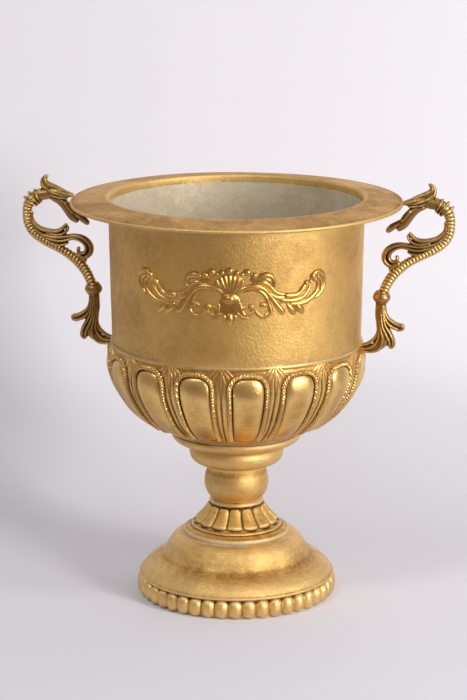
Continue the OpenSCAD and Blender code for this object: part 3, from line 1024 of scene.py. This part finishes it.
    def bent(self, flat: np.ndarray) -> np.ndarray:
        """Bends flat places round the tapering wall.

        Args:
            flat: Distance from the middle, height off the wall and height over the floor.

        Returns:
            Places on the urn.
        """
        seat = Seat.of("cup_wall")
        radius = seat.radius - (seat.top - flat[:, 2]) * self.wall_taper + flat[:, 1] - 0.15
        angle = flat[:, 0] / seat.radius + math.radians(self.turn)
        return np.stack([radius * np.sin(angle), -radius * np.cos(angle), flat[:, 2]], axis=1)

    def stroke(self, points: Sequence[Sequence[float]], side: int) -> bmesh.types.BMesh:
        """Builds one raised stroke with rounded ends, still flat."""
        rows = flowing(points, 0.7)
        cap = rows[0].copy()
        tail = rows[-1].copy()
        cap[2:] *= 0.12
        tail[2:] *= 0.12
        first = 2 * rows[0] - rows[1]
        last = 2 * rows[-1] - rows[-2]
        cap[:2], tail[:2] = first[:2], last[:2]
        rows = np.vstack([cap, rows, tail])
        rows[:, 0] *= side
        ahead = np.gradient(rows[:, :2], axis=0)
        ahead /= np.linalg.norm(ahead, axis=1)[:, None]
        stations = np.stack([rows[:, 0], np.zeros(len(rows)), rows[:, 1]], axis=1)

        def ridge(row: np.ndarray, turn: np.ndarray) -> np.ndarray:
            across = self.fullness * rows[row, 2] * np.cos(turn)
            lift = rows[row, 3] * np.where(np.sin(turn) > 0, np.abs(np.sin(turn)) ** 1.5, -0.2)
            return np.stack([-ahead[row, 1] * across, lift, ahead[row, 0] * across], axis=1)

        return tube(stations, 16, ridge)

    def boss(self, x: float, z: float, radius: float, rise: float, squash: float = 1.0) -> bmesh.types.BMesh:
        """Builds one round boss, still flat."""
        bm = bmesh.new()
        bmesh.ops.create_uvsphere(bm, u_segments=16, v_segments=10, radius=1.0)
        bmesh.ops.scale(bm, verts=bm.verts, vec=(radius, rise, radius * squash))
        bmesh.ops.translate(bm, verts=bm.verts, vec=(x, 0, z))
        return bm

    def ground(self) -> list[bmesh.types.BMesh]:
        """Builds the low ground that joins the fan, the scrolls and the arms."""
        patches = []
        for x, z, wide, high, rise in ((0, 320, 13, 12, 0.9), (0, 300, 10.5, 15, 1.2), (27, 325, 10, 4, 0.7),
                                       (-27, 325, 10, 4, 0.7), (54, 306.5, 17, 5, 0.8), (-54, 306.5, 17, 5, 0.8)):
            bm = bmesh.new()
            bmesh.ops.create_uvsphere(bm, u_segments=32, v_segments=14, radius=1.0)
            bmesh.ops.scale(bm, verts=bm.verts, vec=(wide, rise, high))
            bmesh.ops.translate(bm, verts=bm.verts, vec=(x, 0, z))
            patches.append(bm)
        return patches

    def build(self) -> bpy.types.Object:
        """Builds the garland as one pressed relief on the wall."""
        parts = self.ground()
        parts.append(self.boss(0, 308.2, 5.2, 4.4, 0.74))
        parts.append(self.boss(0, 307.6, 7.4, 2.0, 0.8))
        for side in (-1, 1):
            parts += [self.stroke(points, side) for points in self.strokes()]
            parts += [self.boss(side * x, z, r, h) for x, z, r, h in self.beads()]
        bm = melted(joined(parts), self.voxel, 3)
        under = -0.5

        def bend(mesh: bpy.types.Mesh) -> None:
            flat = points_of(mesh)
            flat[:, 1] = np.maximum(flat[:, 1], under)
            move_points(mesh, self.bent(flat))
            mesh.flip_normals()

        piece = finished(self.node, bm, [PRESSED.material()], reach=6, depth=0.4, shape=bend, crease=60)
        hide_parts(self.node)
        return piece


# ---------------------------------------------------------------------------------------------
# Stem and foot
# ---------------------------------------------------------------------------------------------

@dataclass
class Stem:
    """The turned pieces between the bowl and the neck."""

    steps: int = 128
    bore: float = 4.5

    def piece(self, name: str, node: str, outline: list[Pair]) -> bpy.types.Object:
        """Builds one turned piece, with chalky polish where it meets its neighbours."""
        seat = Seat.of(node)

        def settle(mesh: bpy.types.Mesh) -> None:
            z = points_of(mesh)[:, 2]
            mark(mesh, "seam", np.exp(-((z - seat.top) / 0.9) ** 2) + np.exp(-((z - seat.base) / 0.9) ** 2))

        made = finished(name, turned(outline, self.steps), [TURNED.material()], shape=settle)
        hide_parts(node)
        return made

    def build(self) -> None:
        """Builds the dish, the step and the knop."""
        dish, step, knop = Seat.of("dish_ring"), Seat.of("step_ring"), Seat.of("knop")
        z = dish.top
        curve = flowing([(dish.radius - 0.7, z), (dish.radius, z - 1.2), (dish.radius - 0.2, z - 3.6),
                         (58.0, z - 6.6), (54.0, z - 9.0), (49.0, z - 10.8), (45.5, z - 11.3)], 0.8)
        self.piece("dish", "dish_ring", [tuple(p) for p in curve] + [(44.0, dish.base), (self.bore, dish.base),
                   (self.bore, dish.base + 3), (44.0, dish.base + 4), (54.0, z - 3), (55.0, z)])
        z = step.top
        curve = flowing([(41.6, z), (43.2, z - 2), (step.radius, z - 5.6), (43.8, z - 10), (41.6, z - 14),
                         (38.0, z - 16.6), (33.0, z - 18.4), (30.5, step.base)], 0.8)
        self.piece("step", "step_ring", [tuple(p) for p in curve] + [(self.bore, step.base),
                   (self.bore, step.base + 3), (34.0, step.base + 5), (38.0, step.base + 8), (38.0, z)])
        z = knop.top
        curve = flowing([(28.6, z), (28.0, z - 3), (28.2, z - 6.5), (29.4, z - 10.5), (knop.radius, z - 16.5),
                         (29.6, z - 22.5), (27.6, z - 28), (24.4, z - 32.5), (22.6, knop.base)], 0.8)
        self.piece("knop_ball", "knop", [tuple(p) for p in curve]
                   + [(self.bore, knop.base), (self.bore, z - 24), (20, z - 24), (20, z - 10), (self.bore, z - 10),
                      (self.bore, z)])


@dataclass
class FlutedNeck:
    """The flared neck with rounded flutes, a bead at its top and a stepped base."""

    count: int = 15
    first: float = 5.5
    steps_each: int = 30
    rise: float = 2.2

    def build(self) -> bpy.types.Object:
        """Builds the neck and raises its flutes."""
        seat = Seat.of("fluted_neck")
        z0, top = seat.base, seat.top
        curve = flowing([(22.8, top), (25.0, top - 0.8), (25.8, top - 2.3), (25.2, top - 3.9), (25.0, top - 5.0),
                         (26.2, top - 8.0), (28.6, top - 12), (32.0, top - 16), (36.8, top - 20.5),
                         (42.0, top - 24.6), (44.6, top - 26.4), (46.4, top - 27.4), (47.6, top - 28.2),
                         (48.9, top - 28.6), (50.0, top - 29.8), (49.9, z0)], 0.7)
        run = np.concatenate([[0], np.cumsum(np.hypot(*np.diff(curve, axis=0).T))])
        high, low = 6.6, 29.5
        outline = [tuple(p) for p in curve] + [(40.0, z0), (22.0, top - 13), (20.0, top - 5), (4.5, top - 5),
                                               (4.5, top)]
        bm = turned(outline, self.count * self.steps_each)

        def flute(mesh: bpy.types.Mesh) -> None:
            places = points_of(mesh)
            radius = np.hypot(places[:, 0], places[:, 1])
            nearest, outside = nearest_on(curve, places)
            _, turn = from_middle(places, self.count, self.first)
            pitch = 360 / self.count
            along = run[nearest]
            ends = np.maximum(np.maximum((high + 4 - along) / 4, (along - (low - 3)) / 3), 0)
            away = (np.abs(turn / (pitch * 0.48)) ** 2.4 + ends ** 2.4) ** (1 / 2.4)
            lift = self.rise * np.clip(1 - np.clip(away, 0, 1) ** 2.1, 0, 1) ** 0.55
            trough = -0.6 * np.exp(-((away - 1.03) / 0.08) ** 2) * ((along > high - 2) & (along < low + 2))
            ring = 0.5 * np.exp(-((along - 33.2) / 0.7) ** 2) - 0.35 * np.exp(-((along - 35.2) / 0.6) ** 2)
            out = (beside(curve, 1.0) - curve)[nearest]
            total = lift + trough + ring
            factor = 1 + total * out[:, 0] / np.maximum(radius, 1)
            moved = np.stack([places[:, 0] * factor, places[:, 1] * factor,
                              places[:, 2] + total * out[:, 1]], axis=1)
            places[outside] = moved[outside]
            move_points(mesh, places)
            mark(mesh, "seam", np.where(outside, np.exp(-(along / 2.2) ** 2)
                                        + np.clip((along - run[-1] + 3.0) / 2, 0, 1)
                                        + 0.5 * (np.abs(away - 1.05) < 0.08), 0))

        piece = finished("neck", bm, [LIGHTER_FOOT_BRASS.material()], shape=flute, reach=16, depth=0.4)
        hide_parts("fluted_neck")
        return piece


@dataclass
class Foot:
    """The spun foot and the band of beads that it stands on."""

    steps: int = 180
    beads: int = 44
    first: float = -0.9

    def dome(self) -> bpy.types.Object:
        """Builds the spun foot, with a convex shoulder and a hollow flare."""
        seat = Seat.of("foot_dome")
        base, top = seat.base, seat.top
        outer = flowing([(46.0, top), (51.5, top - 0.5), (56.6, top - 2.5), (61.0, top - 6.4), (64.2, top - 11.2),
                         (67.2, top - 16.6), (70.2, top - 21.0), (73.6, top - 23.6), (78.2, top - 26.0),
                         (83.0, top - 29.0), (87.0, top - 32.6), (89.4, top - 35.6), (90.6, top - 37.6)], 1.0)
        edge = arc((90.7, base + 1.5), 1.3, 70, -80, 8)
        inner = [(86.0, base), (86.0, base + 3.5), (80.0, base + 9), (72.0, base + 13), (62.0, base + 22),
                 (62.0, base + 25), (58.0, base + 25), (58.0, base + 31), (56.0, base + 34),
                 (52.0, base + 37), (40.0, base + 38), (40.0, top)]

        def settle(mesh: bpy.types.Mesh) -> None:
            places = points_of(mesh)
            z = places[:, 2]
            radius = np.hypot(places[:, 0], places[:, 1])
            held = np.clip((top - z) / 8, 0, 1) * np.clip((z - base - 4) / 8, 0, 1)
            move_points(mesh, pushed_out(places, held * ripple(places, 0.12)))
            mark(mesh, "seam", np.exp(-((radius - 51.5) / 1.6) ** 2) * (z > top - 3)
                 + 0.4 * np.exp(-((z - base) / 1.2) ** 2))

        piece = finished("foot_shell", turned([tuple(p) for p in outer] + edge + inner, self.steps),
                         [LIGHTER_FOOT_BRASS.material()], shape=settle)
        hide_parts("foot_dome")
        return piece

    def band(self) -> bpy.types.Object:
        """Builds the barrel-shaped beads on their backing ring."""
        seat = Seat.of("bead_band")
        height = seat.top - seat.base
        half = (7.0, 6.2, height / 2)
        bm = bmesh.new()
        bmesh.ops.create_uvsphere(bm, u_segments=24, v_segments=20, radius=1.0)
        for vert in bm.verts:
            x, y, z = vert.co
            slim = math.hypot(x, y)
            barrel = (1 - abs(z) ** 2.8) ** (1 / 2.2) / slim if slim > 0.01 else 1.0
            vert.co = (x * barrel, y * barrel, z)
        bmesh.ops.scale(bm, verts=bm.verts, vec=(half[0], half[1], half[2] - 0.15))
        bmesh.ops.translate(bm, verts=bm.verts,
                            vec=(0, -(seat.radius - half[1]), seat.base + height / 2 + 0.15))
        copies_round(bm, self.beads, self.first)
        r = seat.radius
        ring = turned([(r - 14, seat.base), (r - 7, seat.base), (r - 6, seat.base + 3), (r - 6, seat.top - 3),
                       (r - 5, seat.top - 0.6), (r - 4.2, seat.top), (r - 14, seat.top)], self.steps)

        def settle(mesh: bpy.types.Mesh) -> None:
            z = points_of(mesh)[:, 2]
            mark(mesh, "seam", 0.9 * np.exp(-((z - seat.base) / 2.5) ** 2)
                 + 0.5 * np.exp(-((z - seat.top) / 2.0) ** 2))

        piece = finished("foot_beads", joined([bm, ring]), [BEADS.material()], shape=settle, reach=6, depth=0.4)
        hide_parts("bead_band")
        return piece

    def build(self) -> None:
        """Builds the foot's pieces."""
        self.dome()
        self.band()


# ---------------------------------------------------------------------------------------------
# Handles
# ---------------------------------------------------------------------------------------------

Rod = list[tuple[float, float, float, float]]


@dataclass
class DragonHandle:
    """A cast dragon that bites the flange, with a ribbed body, a wing, a scroll and a fan of tail leaves.

    The dragon is drawn in its own plane: distance from the urn's axis, height, half thickness in the
    plane and half thickness across it.
    """

    voxel: float = 0.42
    rib_pitch: float = 3.3
    rib_depth: float = 1.05
    foot_top: float = 260.0

    def spine(self) -> Rod:
        """The ribbed body from the collar behind the head down to the ball."""
        return [(188.5, 374.6, 5.2, 5.6), (193.6, 370.2, 5.4, 5.6), (196.3, 364.5, 5, 5.4),
                (197, 357.5, 4.7, 5.2), (196.5, 350.5, 4.5, 5), (194, 344, 4.4, 4.9),
                (189.6, 338.6, 4.3, 4.8), (183.4, 334, 4.2, 4.7), (176, 330, 4.2, 4.7),
                (168, 326.2, 4.3, 4.7), (160, 321.8, 4.5, 4.8), (152.6, 316.4, 4.9, 4.9),
                (146, 310, 5.1, 5), (141.2, 303, 5, 4.9), (138, 296.5, 4.8, 4.8),
                (136.2, 291, 4.8, 4.8)]

    def wing(self) -> list[Rod]:
        """Ridges of the wing and the scroll beside the body."""
        return [
            [(192.8, 359, 1.8, 2.6), (193, 353.5, 2.1, 3.4), (190.5, 348.6, 2.3, 3.9), (185.6, 344.6, 2.4, 4.2),
             (179, 342.4, 2.4, 4.2), (172, 341.6, 2.3, 4), (166.5, 342.8, 2.1, 3.6), (162.8, 345.4, 1.9, 3.1),
             (160.3, 348.2, 1.6, 2.5)],
            [(178, 340, 1.5, 4.2), (170, 338.6, 1.7, 4.2), (164, 339.6, 1.6, 3.8), (159.6, 342.6, 1.5, 3.2),
             (158.4, 346, 1.3, 2.6)],
            [(192, 346.5, 1.6, 3.6), (186, 341, 1.9, 4.4), (178, 337.6, 2, 4.6), (169, 336.4, 2, 4.4),
             (160.5, 337.2, 2, 4), (152.5, 338, 2.1, 3.8), (145.8, 336.9, 2.3, 3.8), (140.2, 333.4, 2.5, 3.9),
             (137, 328.2, 2.5, 3.9), (137.2, 322.8, 2.4, 3.9), (140.6, 318.8, 2.3, 3.9), (145.2, 317, 2.2, 3.8)],
            [(184, 337.6, 1.7, 4.4), (176, 334.6, 1.9, 4.6), (167, 333, 1.9, 4.4), (160, 334, 1.7, 3.9),
             (153.4, 335.3, 1.5, 3.4), (147.4, 333.9, 1.6, 3.2), (142.9, 330.4, 1.7, 3.2), (141.3, 326.2, 1.7, 3.2),
             (142.8, 322.6, 1.7, 3.2), (146.6, 321.6, 1.6, 3.1), (149, 323.6, 1.6, 2.9), (148.6, 326.2, 1.8, 2.7)],
            [(178, 332.6, 1.5, 4.3), (170, 329.8, 1.7, 4.4), (163.5, 329.4, 1.6, 3.8), (158.6, 331, 1, 2.8)],
            [(150, 320, 2.2, 3.6), (146, 318.4, 2.4, 3.8), (142.8, 315, 2, 3.6)],
        ]

    def head(self) -> list[Rod]:
        """The skull, crest, brows, beak and the two-lobed jaw."""
        return [
            [(154, 376.4, 1.9, 3.6), (157.6, 376.8, 3, 4.6), (162.4, 377.4, 4, 5.2), (168, 378.4, 4.9, 5.6),
             (174, 378.2, 5.6, 5.8), (180, 376.8, 5.6, 5.8), (186, 375.6, 5.4, 5.6), (190.5, 373.2, 5.2, 5.6)],
            [(160.5, 379.6, 1.3, 3), (166, 382, 2, 3.6), (171.6, 384, 2.6, 3.8), (176.4, 385.6, 3, 3.6),
             (179.4, 388.4, 2.7, 3.2), (179.4, 391.6, 2.1, 2.7), (177.4, 394, 1.4, 2)],
            [(170, 381, 2, 4.4), (176, 381.4, 2.6, 4.4), (180.6, 383.8, 2.4, 3.8), (182.3, 387.6, 1.8, 3),
             (181.5, 391.4, 1.5, 2.4), (178.8, 394.2, 1.1, 1.8)],
            [(163, 376, 1.2, 5.8), (168, 377.6, 1.5, 6.3), (173, 379.6, 1.5, 6.2), (177, 382, 1.1, 5.4)],
            [(159.5, 373.4, 1.4, 5), (165, 374.2, 1.7, 5.9), (171, 375.4, 1.5, 6.3), (176.5, 377.2, 0.9, 6)],
            [(172, 373.4, 3, 5), (166.6, 371.4, 3.8, 5.2), (161.8, 367.8, 4.5, 5.2), (158, 363, 4.8, 5),
             (155.2, 358.6, 4.6, 4.8), (152.6, 355.2, 4, 4.4), (150.6, 352.9, 2.8, 3.6)],
            [(160.5, 369.5, 2.4, 6), (156.5, 364.6, 2.9, 5.8), (153.4, 360.6, 2.6, 5.2)],
            [(156.5, 361.2, 2, 3.6), (151.6, 358.8, 2.4, 4), (147, 356.2, 2.8, 4.2), (143.2, 353.4, 3.2, 4.2),
             (140.4, 350.9, 2.6, 3.5)],
            [(183.4, 380.6, 1.7, 3.8), (187.6, 378.4, 1.6, 4.6), (191.6, 377.2, 1.2, 4.6)],
        ]

    def ruff(self) -> list[Rod]:
        """Three thick rings behind the head, each lying across the neck."""
        rings = []
        for x, z, tilt, size in ((186.6, 375.0, 62, 6.3), (190.4, 372.9, 48, 7.0), (193.6, 369.8, 34, 6.7)):
            a = math.radians(tilt)
            rings.append([(x - size * math.cos(a) * 0.98, z - size * math.sin(a) * 0.98, 1.3, 3.4),
                          (x, z, 1.5, 6.9),
                          (x + size * math.cos(a) * 0.98, z + size * math.sin(a) * 0.98, 1.3, 3.4)])
        return rings

    def tail(self) -> list[Rod]:
        """Ridges of the tail: the fan of leaves and the foot that turns in to the wall."""
        return [
            [(137.9, 283, 1.5, 3), (138.4, 275, 1.6, 3.4), (141, 268.8, 1.7, 3.5), (146.5, 264.4, 1.8, 3.3),
             (151.6, 261.9, 1.9, 3), (154.4, 260.5, 1.3, 2.4)],
            [(137, 283, 1.4, 3.8), (137.4, 273, 1.6, 4.2), (139.8, 265.6, 1.8, 4.2), (144.8, 260.6, 1.9, 3.6),
             (150.4, 258.2, 1.5, 2.8)],
            [(135.9, 283, 1.4, 4.3), (136.6, 271, 1.7, 4.8), (138.8, 262, 1.9, 5), (143.2, 254.6, 1.9, 4.4),
             (146, 248.2, 1.7, 3.8), (145.6, 243.4, 1.2, 3)],
            [(134.6, 283, 1.4, 4.5), (134.9, 270, 1.7, 5.2), (136.6, 260, 1.9, 5.5), (140.2, 252, 1.9, 5),
             (142.8, 246.2, 1.7, 4.2), (142.6, 242.2, 1.3, 3.2)],
            [(133.2, 283, 1.4, 4.3), (133.2, 270, 1.7, 5), (134.4, 259, 1.9, 5.4), (136.4, 250, 2, 5.2),
             (135.6, 243, 2, 4.8), (131.4, 238.2, 1.9, 4.4), (125.6, 236.6, 1.7, 4), (118, 236.8, 1.5, 3.6)],
            [(131.9, 283, 1.4, 3.8), (131.4, 270, 1.6, 4.4), (132.4, 259, 1.8, 4.8), (132.8, 251, 1.9, 4.8),
             (130, 244.2, 2, 4.6), (124.6, 240.2, 2, 4.4), (117.6, 239.4, 1.9, 4.2)],
            [(130.8, 283, 1.3, 3), (130.7, 271, 1.5, 3.6), (131.9, 262, 1.5, 3.8), (131.8, 254.5, 1.6, 3.9),
             (128.2, 248.4, 1.6, 3.8), (122.8, 244.2, 1.5, 3.7), (117.4, 242.3, 1.3, 3.6)],
            [(151, 262.6, 1.7, 2.8), (154.6, 261.4, 1.9, 2.8), (154.4, 258.6, 1.9, 2.8), (150.6, 257.6, 1.6, 2.8)],
            [(143, 263.4, 2.6, 1.9), (152.4, 260.2, 2.6, 1.9)],
            [(146.4, 248, 1.6, 3.2), (146.6, 243.6, 1.8, 3), (144.4, 241, 1.8, 3), (142.2, 243, 1.5, 3)],
            [(141.6, 256, 2.4, 3), (144.6, 243.8, 2.2, 2.2)],
            [(134.4, 284, 4, 3.4), (134.8, 270, 4.6, 3.8), (136.8, 258, 6, 4.2), (137.4, 249, 5.8, 4),
             (133.8, 242.6, 4.4, 3.8), (126, 239.8, 3.6, 3.4), (117.4, 239.6, 3.2, 3.2)],
        ]

    def rod(self, points: Rod, spacing: float = 0.6, sides: int = 16,
            ribs: bool = False) -> bmesh.types.BMesh:
        """Builds one swept ridge of the casting with rounded ends.

        Args:
            points: Given stations of the ridge.
            spacing: Distance between rings.
            sides: Corners of each ring.
            ribs: Whether the ridge is cut by cross ribs.

        Returns:
            The ridge as a closed bmesh, in the plane of +X and +Z.
        """
        rows = flowing(points, spacing)
        ahead = np.gradient(rows[:, :2], axis=0)
        ahead /= np.linalg.norm(ahead, axis=1)[:, None]
        ends = []
        for row, way, sign in ((rows[0], ahead[0], -1), (rows[-1], ahead[-1], 1)):
            for reach, size in ((0.55, 0.83), (0.9, 0.45), (1.0, 0.12)):
                cap = row.copy()
                cap[:2] += sign * way * row[2] * reach
                cap[2:] *= size
                ends.append(cap)
        rows = np.vstack([ends[2], ends[1], ends[0], rows, ends[3], ends[4], ends[5]])
        ahead = np.vstack([ahead[:1]] * 3 + [ahead] + [ahead[-1:]] * 3)
        along = np.concatenate([[0], np.cumsum(np.hypot(*np.diff(rows[:, :2], axis=0).T))])
        stations = np.stack([rows[:, 0], np.zeros(len(rows)), rows[:, 1]], axis=1)

        def section(row: np.ndarray, turn: np.ndarray) -> np.ndarray:
            size = np.ones(len(row))
            if ribs:
                phase = np.abs(np.cos(math.pi * along[row] / self.rib_pitch))
                size = 1 - self.rib_depth / 5 * (1 - phase ** 0.7)
            across = rows[row, 2] * np.cos(turn) * size
            return np.stack([-ahead[row, 1] * across, rows[row, 3] * np.sin(turn) * size,
                             ahead[row, 0] * across], axis=1)

        return tube(stations, sides, section)

    def ball(self) -> bmesh.types.BMesh:
        """Builds the ball collar, with a fillet above and below, standing on the handle's plane."""
        centre = (135.0, 288.2)
        outline = flowing([(4.2, -6.4), (5.4, -5.4), (5.6, -4.6), (6.4, -4.0), (7.9, -1.6), (8.1, 0.6), (7.2, 3.2),
                           (5.9, 4.4), (5.7, 5.4), (4.4, 6.6)], 0.5)
        bm = turned([tuple(p) for p in outline] + [(2.0, 6.6), (2.0, -6.4)], 40)
        bmesh.ops.translate(bm, verts=bm.verts, vec=(centre[0], 0, centre[1]))
        return bm

    def cast(self) -> bmesh.types.BMesh:
        """Melts the head, wing, tail and ball into one casting."""
        rods = self.head() + self.ruff() + self.wing() + self.tail()
        return melted(joined([self.rod(points) for points in rods] + [self.ball()]), self.voxel, 2)

    def trim(self, mesh: bpy.types.Mesh) -> None:
        """Keeps the foot off the bowl's wall, and the mouth off the flange's edge."""
        places = points_of(mesh)
        wall = Seat.of("gadroon_bowl").radius - 2.5
        flange = Seat.of("rim_flange")
        foot = places[:, 2] < self.foot_top
        places[foot, 0] = np.maximum(places[foot, 0], wall)
        mouth = (places[:, 2] > flange.base - 2) & (places[:, 2] < flange.top + 8)
        places[mouth, 0] = np.maximum(places[mouth, 0], flange.radius - 0.3)
        near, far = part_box("handle_right")
        places[:, 0] = np.clip(places[:, 0], near[0] / MM, far[0] / MM)
        places[:, 2] = np.minimum(places[:, 2], far[2] / MM)
        move_points(mesh, places)

    def build(self) -> None:
        """Builds both handles, the left one turned half round from the right one."""
        casting = self.cast()
        body = self.rod(self.spine(), spacing=0.36, sides=28, ribs=True)
        for side, turn in (("right", 0.0), ("left", math.pi)):
            half_turn = Matrix.Rotation(turn, 4, "Z")
            for part, shape, reach in (("dragon", casting, 10), ("body", body, 7)):

                def settle(mesh: bpy.types.Mesh, half_turn=half_turn) -> None:
                    self.trim(mesh)
                    mesh.transform(half_turn)

                piece = finished(f"{part}_{side}", shape.copy(), [CAST.material()], shape=settle,
                                 crease=70, reach=reach, depth=0.28)
                if part == "dragon":
                    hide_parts(f"handle_{side}")
        casting.free()
        body.free()


# ---------------------------------------------------------------------------------------------
# Fixings and studio
# ---------------------------------------------------------------------------------------------

@dataclass
class Fixings:
    """The hidden hardware, which keeps its frame shapes and gets its own finishes."""

    steel: tuple[str, ...] = ("tie_rod", "rod_nut", "foot_washer", "foot_nut")

    def build(self) -> None:
        """Dresses each node's material slots."""
        finishes = {node: STEEL for node in self.steel}
        finishes |= {"foot_bar": RAW, "handle_screws": SCREW, "rod_washer": TIN}
        for node, finish in finishes.items():
            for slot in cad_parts[node].material_slots:
                slot.material = finish.material()
            LOG.info("%s dressed in %s", node, finish.name)


@dataclass
class Studio:
    """A pale sweep, a soft key light from the right, two small high lights and the camera."""

    camera_turn: float = 8.0
    camera_away: float = 2342.7
    camera_high: float = 796.5
    camera_side: float = -2.8
    pitch: float = 13.513
    lens: float = 132.8
    floor_front: float = 0.44
    floor_half: float = 1.3
    floor_back: float = 0.15
    bend: float = 0.30
    wall_top: float = 2.2
    room_low: Colour = (0.26, 0.195, 0.145)
    room_level: Colour = (0.275, 0.235, 0.205)
    room_high: Colour = (0.52, 0.53, 0.60)
    room_top: Colour = (0.22, 0.19, 0.17)

    def backdrop(self) -> None:
        """Builds the floor that sweeps up into a backdrop: paper in front, nothing at all from behind, with the
        floor painted darker than the wall as painted shade.
        """
        bm = bmesh.new()
        outline = [(-self.floor_front, 0.0), (self.floor_back, 0.0)]
        outline += [(self.floor_back + self.bend * math.sin(a), self.bend - self.bend * math.cos(a))
                    for a in np.radians(np.linspace(8, 88, 14))]
        outline.append((self.floor_back + self.bend + 0.06, self.wall_top))
        verts = [bm.verts.new((-self.floor_half, y, z)) for y, z in outline]
        edges = [bm.edges.new(pair) for pair in zip(verts, verts[1:])]
        moved = bmesh.ops.extrude_edge_only(bm, edges=edges)["geom"]
        bmesh.ops.translate(bm, verts=[v for v in moved if isinstance(v, bmesh.types.BMVert)],
                            vec=(2 * self.floor_half, 0, 0))
        bmesh.ops.recalc_face_normals(bm, faces=bm.faces)
        if sum(face.normal.z for face in bm.faces) < 0:
            bmesh.ops.reverse_faces(bm, faces=bm.faces)
        bmesh.ops.rotate(bm, verts=bm.verts, cent=(0, 0, 0),
                         matrix=Matrix.Rotation(math.radians(self.camera_turn), 3, "Z"))
        mesh = bpy.data.meshes.new("backdrop")
        bm.to_mesh(mesh)
        bm.free()
        mesh.shade_smooth()
        made = bpy.data.materials.new("paper")
        made.use_nodes = True
        sk = Sketch(made.node_tree)
        where = sk.node("ShaderNodeTexCoord").outputs["Object"]
        tone = sk.blend(sk.noise(where, 3.0, 2.0), (0.82, 0.81, 0.855, 1), (0.85, 0.84, 0.88, 1))
        # Painted shade: the floor is painted darker than the rising wall, standing for the weaker light that falls
        # on it.
        height = sk.node("ShaderNodeSeparateXYZ", {0: where}).outputs[2]
        tone = sk.blend(sk.window(height, 0.0, 0.25), (0.75, 0.745, 0.79, 1), tone)
        shader = sk.node("ShaderNodeBsdfPrincipled", {"Base Color": tone, "Roughness": 0.85})
        behind = sk.node("ShaderNodeNewGeometry").outputs["Backfacing"]
        clear = sk.node("ShaderNodeBsdfTransparent")
        one_sided = sk.node("ShaderNodeMixShader", {0: behind, 1: shader.outputs[0], 2: clear.outputs[0]})
        sk.node("ShaderNodeOutputMaterial", {"Surface": one_sided.outputs[0]})
        mesh.materials.append(made)
        sweep = bpy.data.objects.new("backdrop", mesh)
        bpy.context.scene.collection.objects.link(sweep)

    def light(self, name: str, turn: float, rise: float, away: float, size: Pair, power: float,
              colour: Colour = (1.0, 1.0, 1.0)) -> None:
        """Adds a rectangular light that faces the urn.

        Args:
            name: The light's name.
            turn: Angle from the camera, towards its right, in degrees.
            rise: Height over the horizon seen from the urn, in degrees.
            away: Distance in metres.
            size: Width and height in metres.
            power: Power in watts.
            colour: Its colour.
        """
        data = bpy.data.lights.new(name, "AREA")
        data.shape = "RECTANGLE"
        data.size, data.size_y = size
        data.energy = power
        data.color = colour
        lamp = bpy.data.objects.new(name, data)
        a, b = math.radians(turn + self.camera_turn), math.radians(rise)
        aim = Vector((0, 0, 0.22))
        way = Vector((math.sin(a) * math.cos(b), -math.cos(a) * math.cos(b), math.sin(b)))
        lamp.location = aim + away * way
        lamp.rotation_euler = (aim - lamp.location).to_track_quat("-Z", "Y").to_euler()
        bpy.context.scene.collection.objects.link(lamp)

    def lights(self) -> None:
        """Sets the soft lights and the room round them: brown and dim below, pale overhead."""
        self.light("key", 47, 12, 2.6, (0.46, 0.72), 44.0, (1.0, 0.985, 0.965))
        self.light("high_right", 53, 46, 1.6, (0.26, 0.26), 4.2, (1.0, 0.99, 0.97))
        self.light("high_left", -35, 50, 1.6, (0.26, 0.26), 4.6, (1.0, 0.99, 0.98))
        world = bpy.data.worlds.new("room")
        world.use_nodes = True
        sk = Sketch(world.node_tree)
        way = sk.node("ShaderNodeTexCoord").outputs["Generated"]
        height = sk.node("ShaderNodeSeparateXYZ", {0: way}).outputs[2]
        tone = sk.blend(sk.window(height, -0.45, 0.10), (*self.room_low, 1), (*self.room_level, 1))
        tone = sk.blend(sk.window(height, 0.05, 0.75), tone, (*self.room_high, 1))
        tone = sk.blend(sk.window(height, 0.80, 0.97), tone, (*self.room_top, 1))
        glow = sk.node("ShaderNodeBackground", {"Color": tone, "Strength": 1.0})
        sk.node("ShaderNodeOutputWorld", {"Surface": glow.outputs[0]})
        bpy.context.scene.world = world

    def camera(self) -> None:
        """Sets the camera."""
        data = bpy.data.cameras.new("camera")
        data.lens = self.lens
        data.sensor_width = 36
        data.sensor_fit = "AUTO"
        data.clip_end = 20
        made = bpy.data.objects.new("camera", data)
        a = math.radians(self.camera_turn)
        away = Vector((math.sin(a), -math.cos(a), 0)) * self.camera_away
        side = Vector((math.cos(a), math.sin(a), 0)) * self.camera_side
        made.location = (away + side + UP * self.camera_high) * MM
        made.rotation_euler = (math.radians(90 - self.pitch), 0, a)
        bpy.context.scene.collection.objects.link(made)
        bpy.context.scene.camera = made

    def build(self) -> None:
        """Sets the stage."""
        self.backdrop()
        self.lights()
        self.camera()
        bpy.context.scene.view_settings.view_transform = "Standard"


def main() -> None:
    """Builds the urn and its studio."""
    Studio().build()
    Cup().build()
    GadroonBowl().build()
    Garland("garland_front", 5.0).build()
    Garland("garland_back", 185.0).build()
    Stem().build()
    FlutedNeck().build()
    Foot().build()
    DragonHandle().build()
    Fixings().build()


if __name__ == "__main__":
    main()
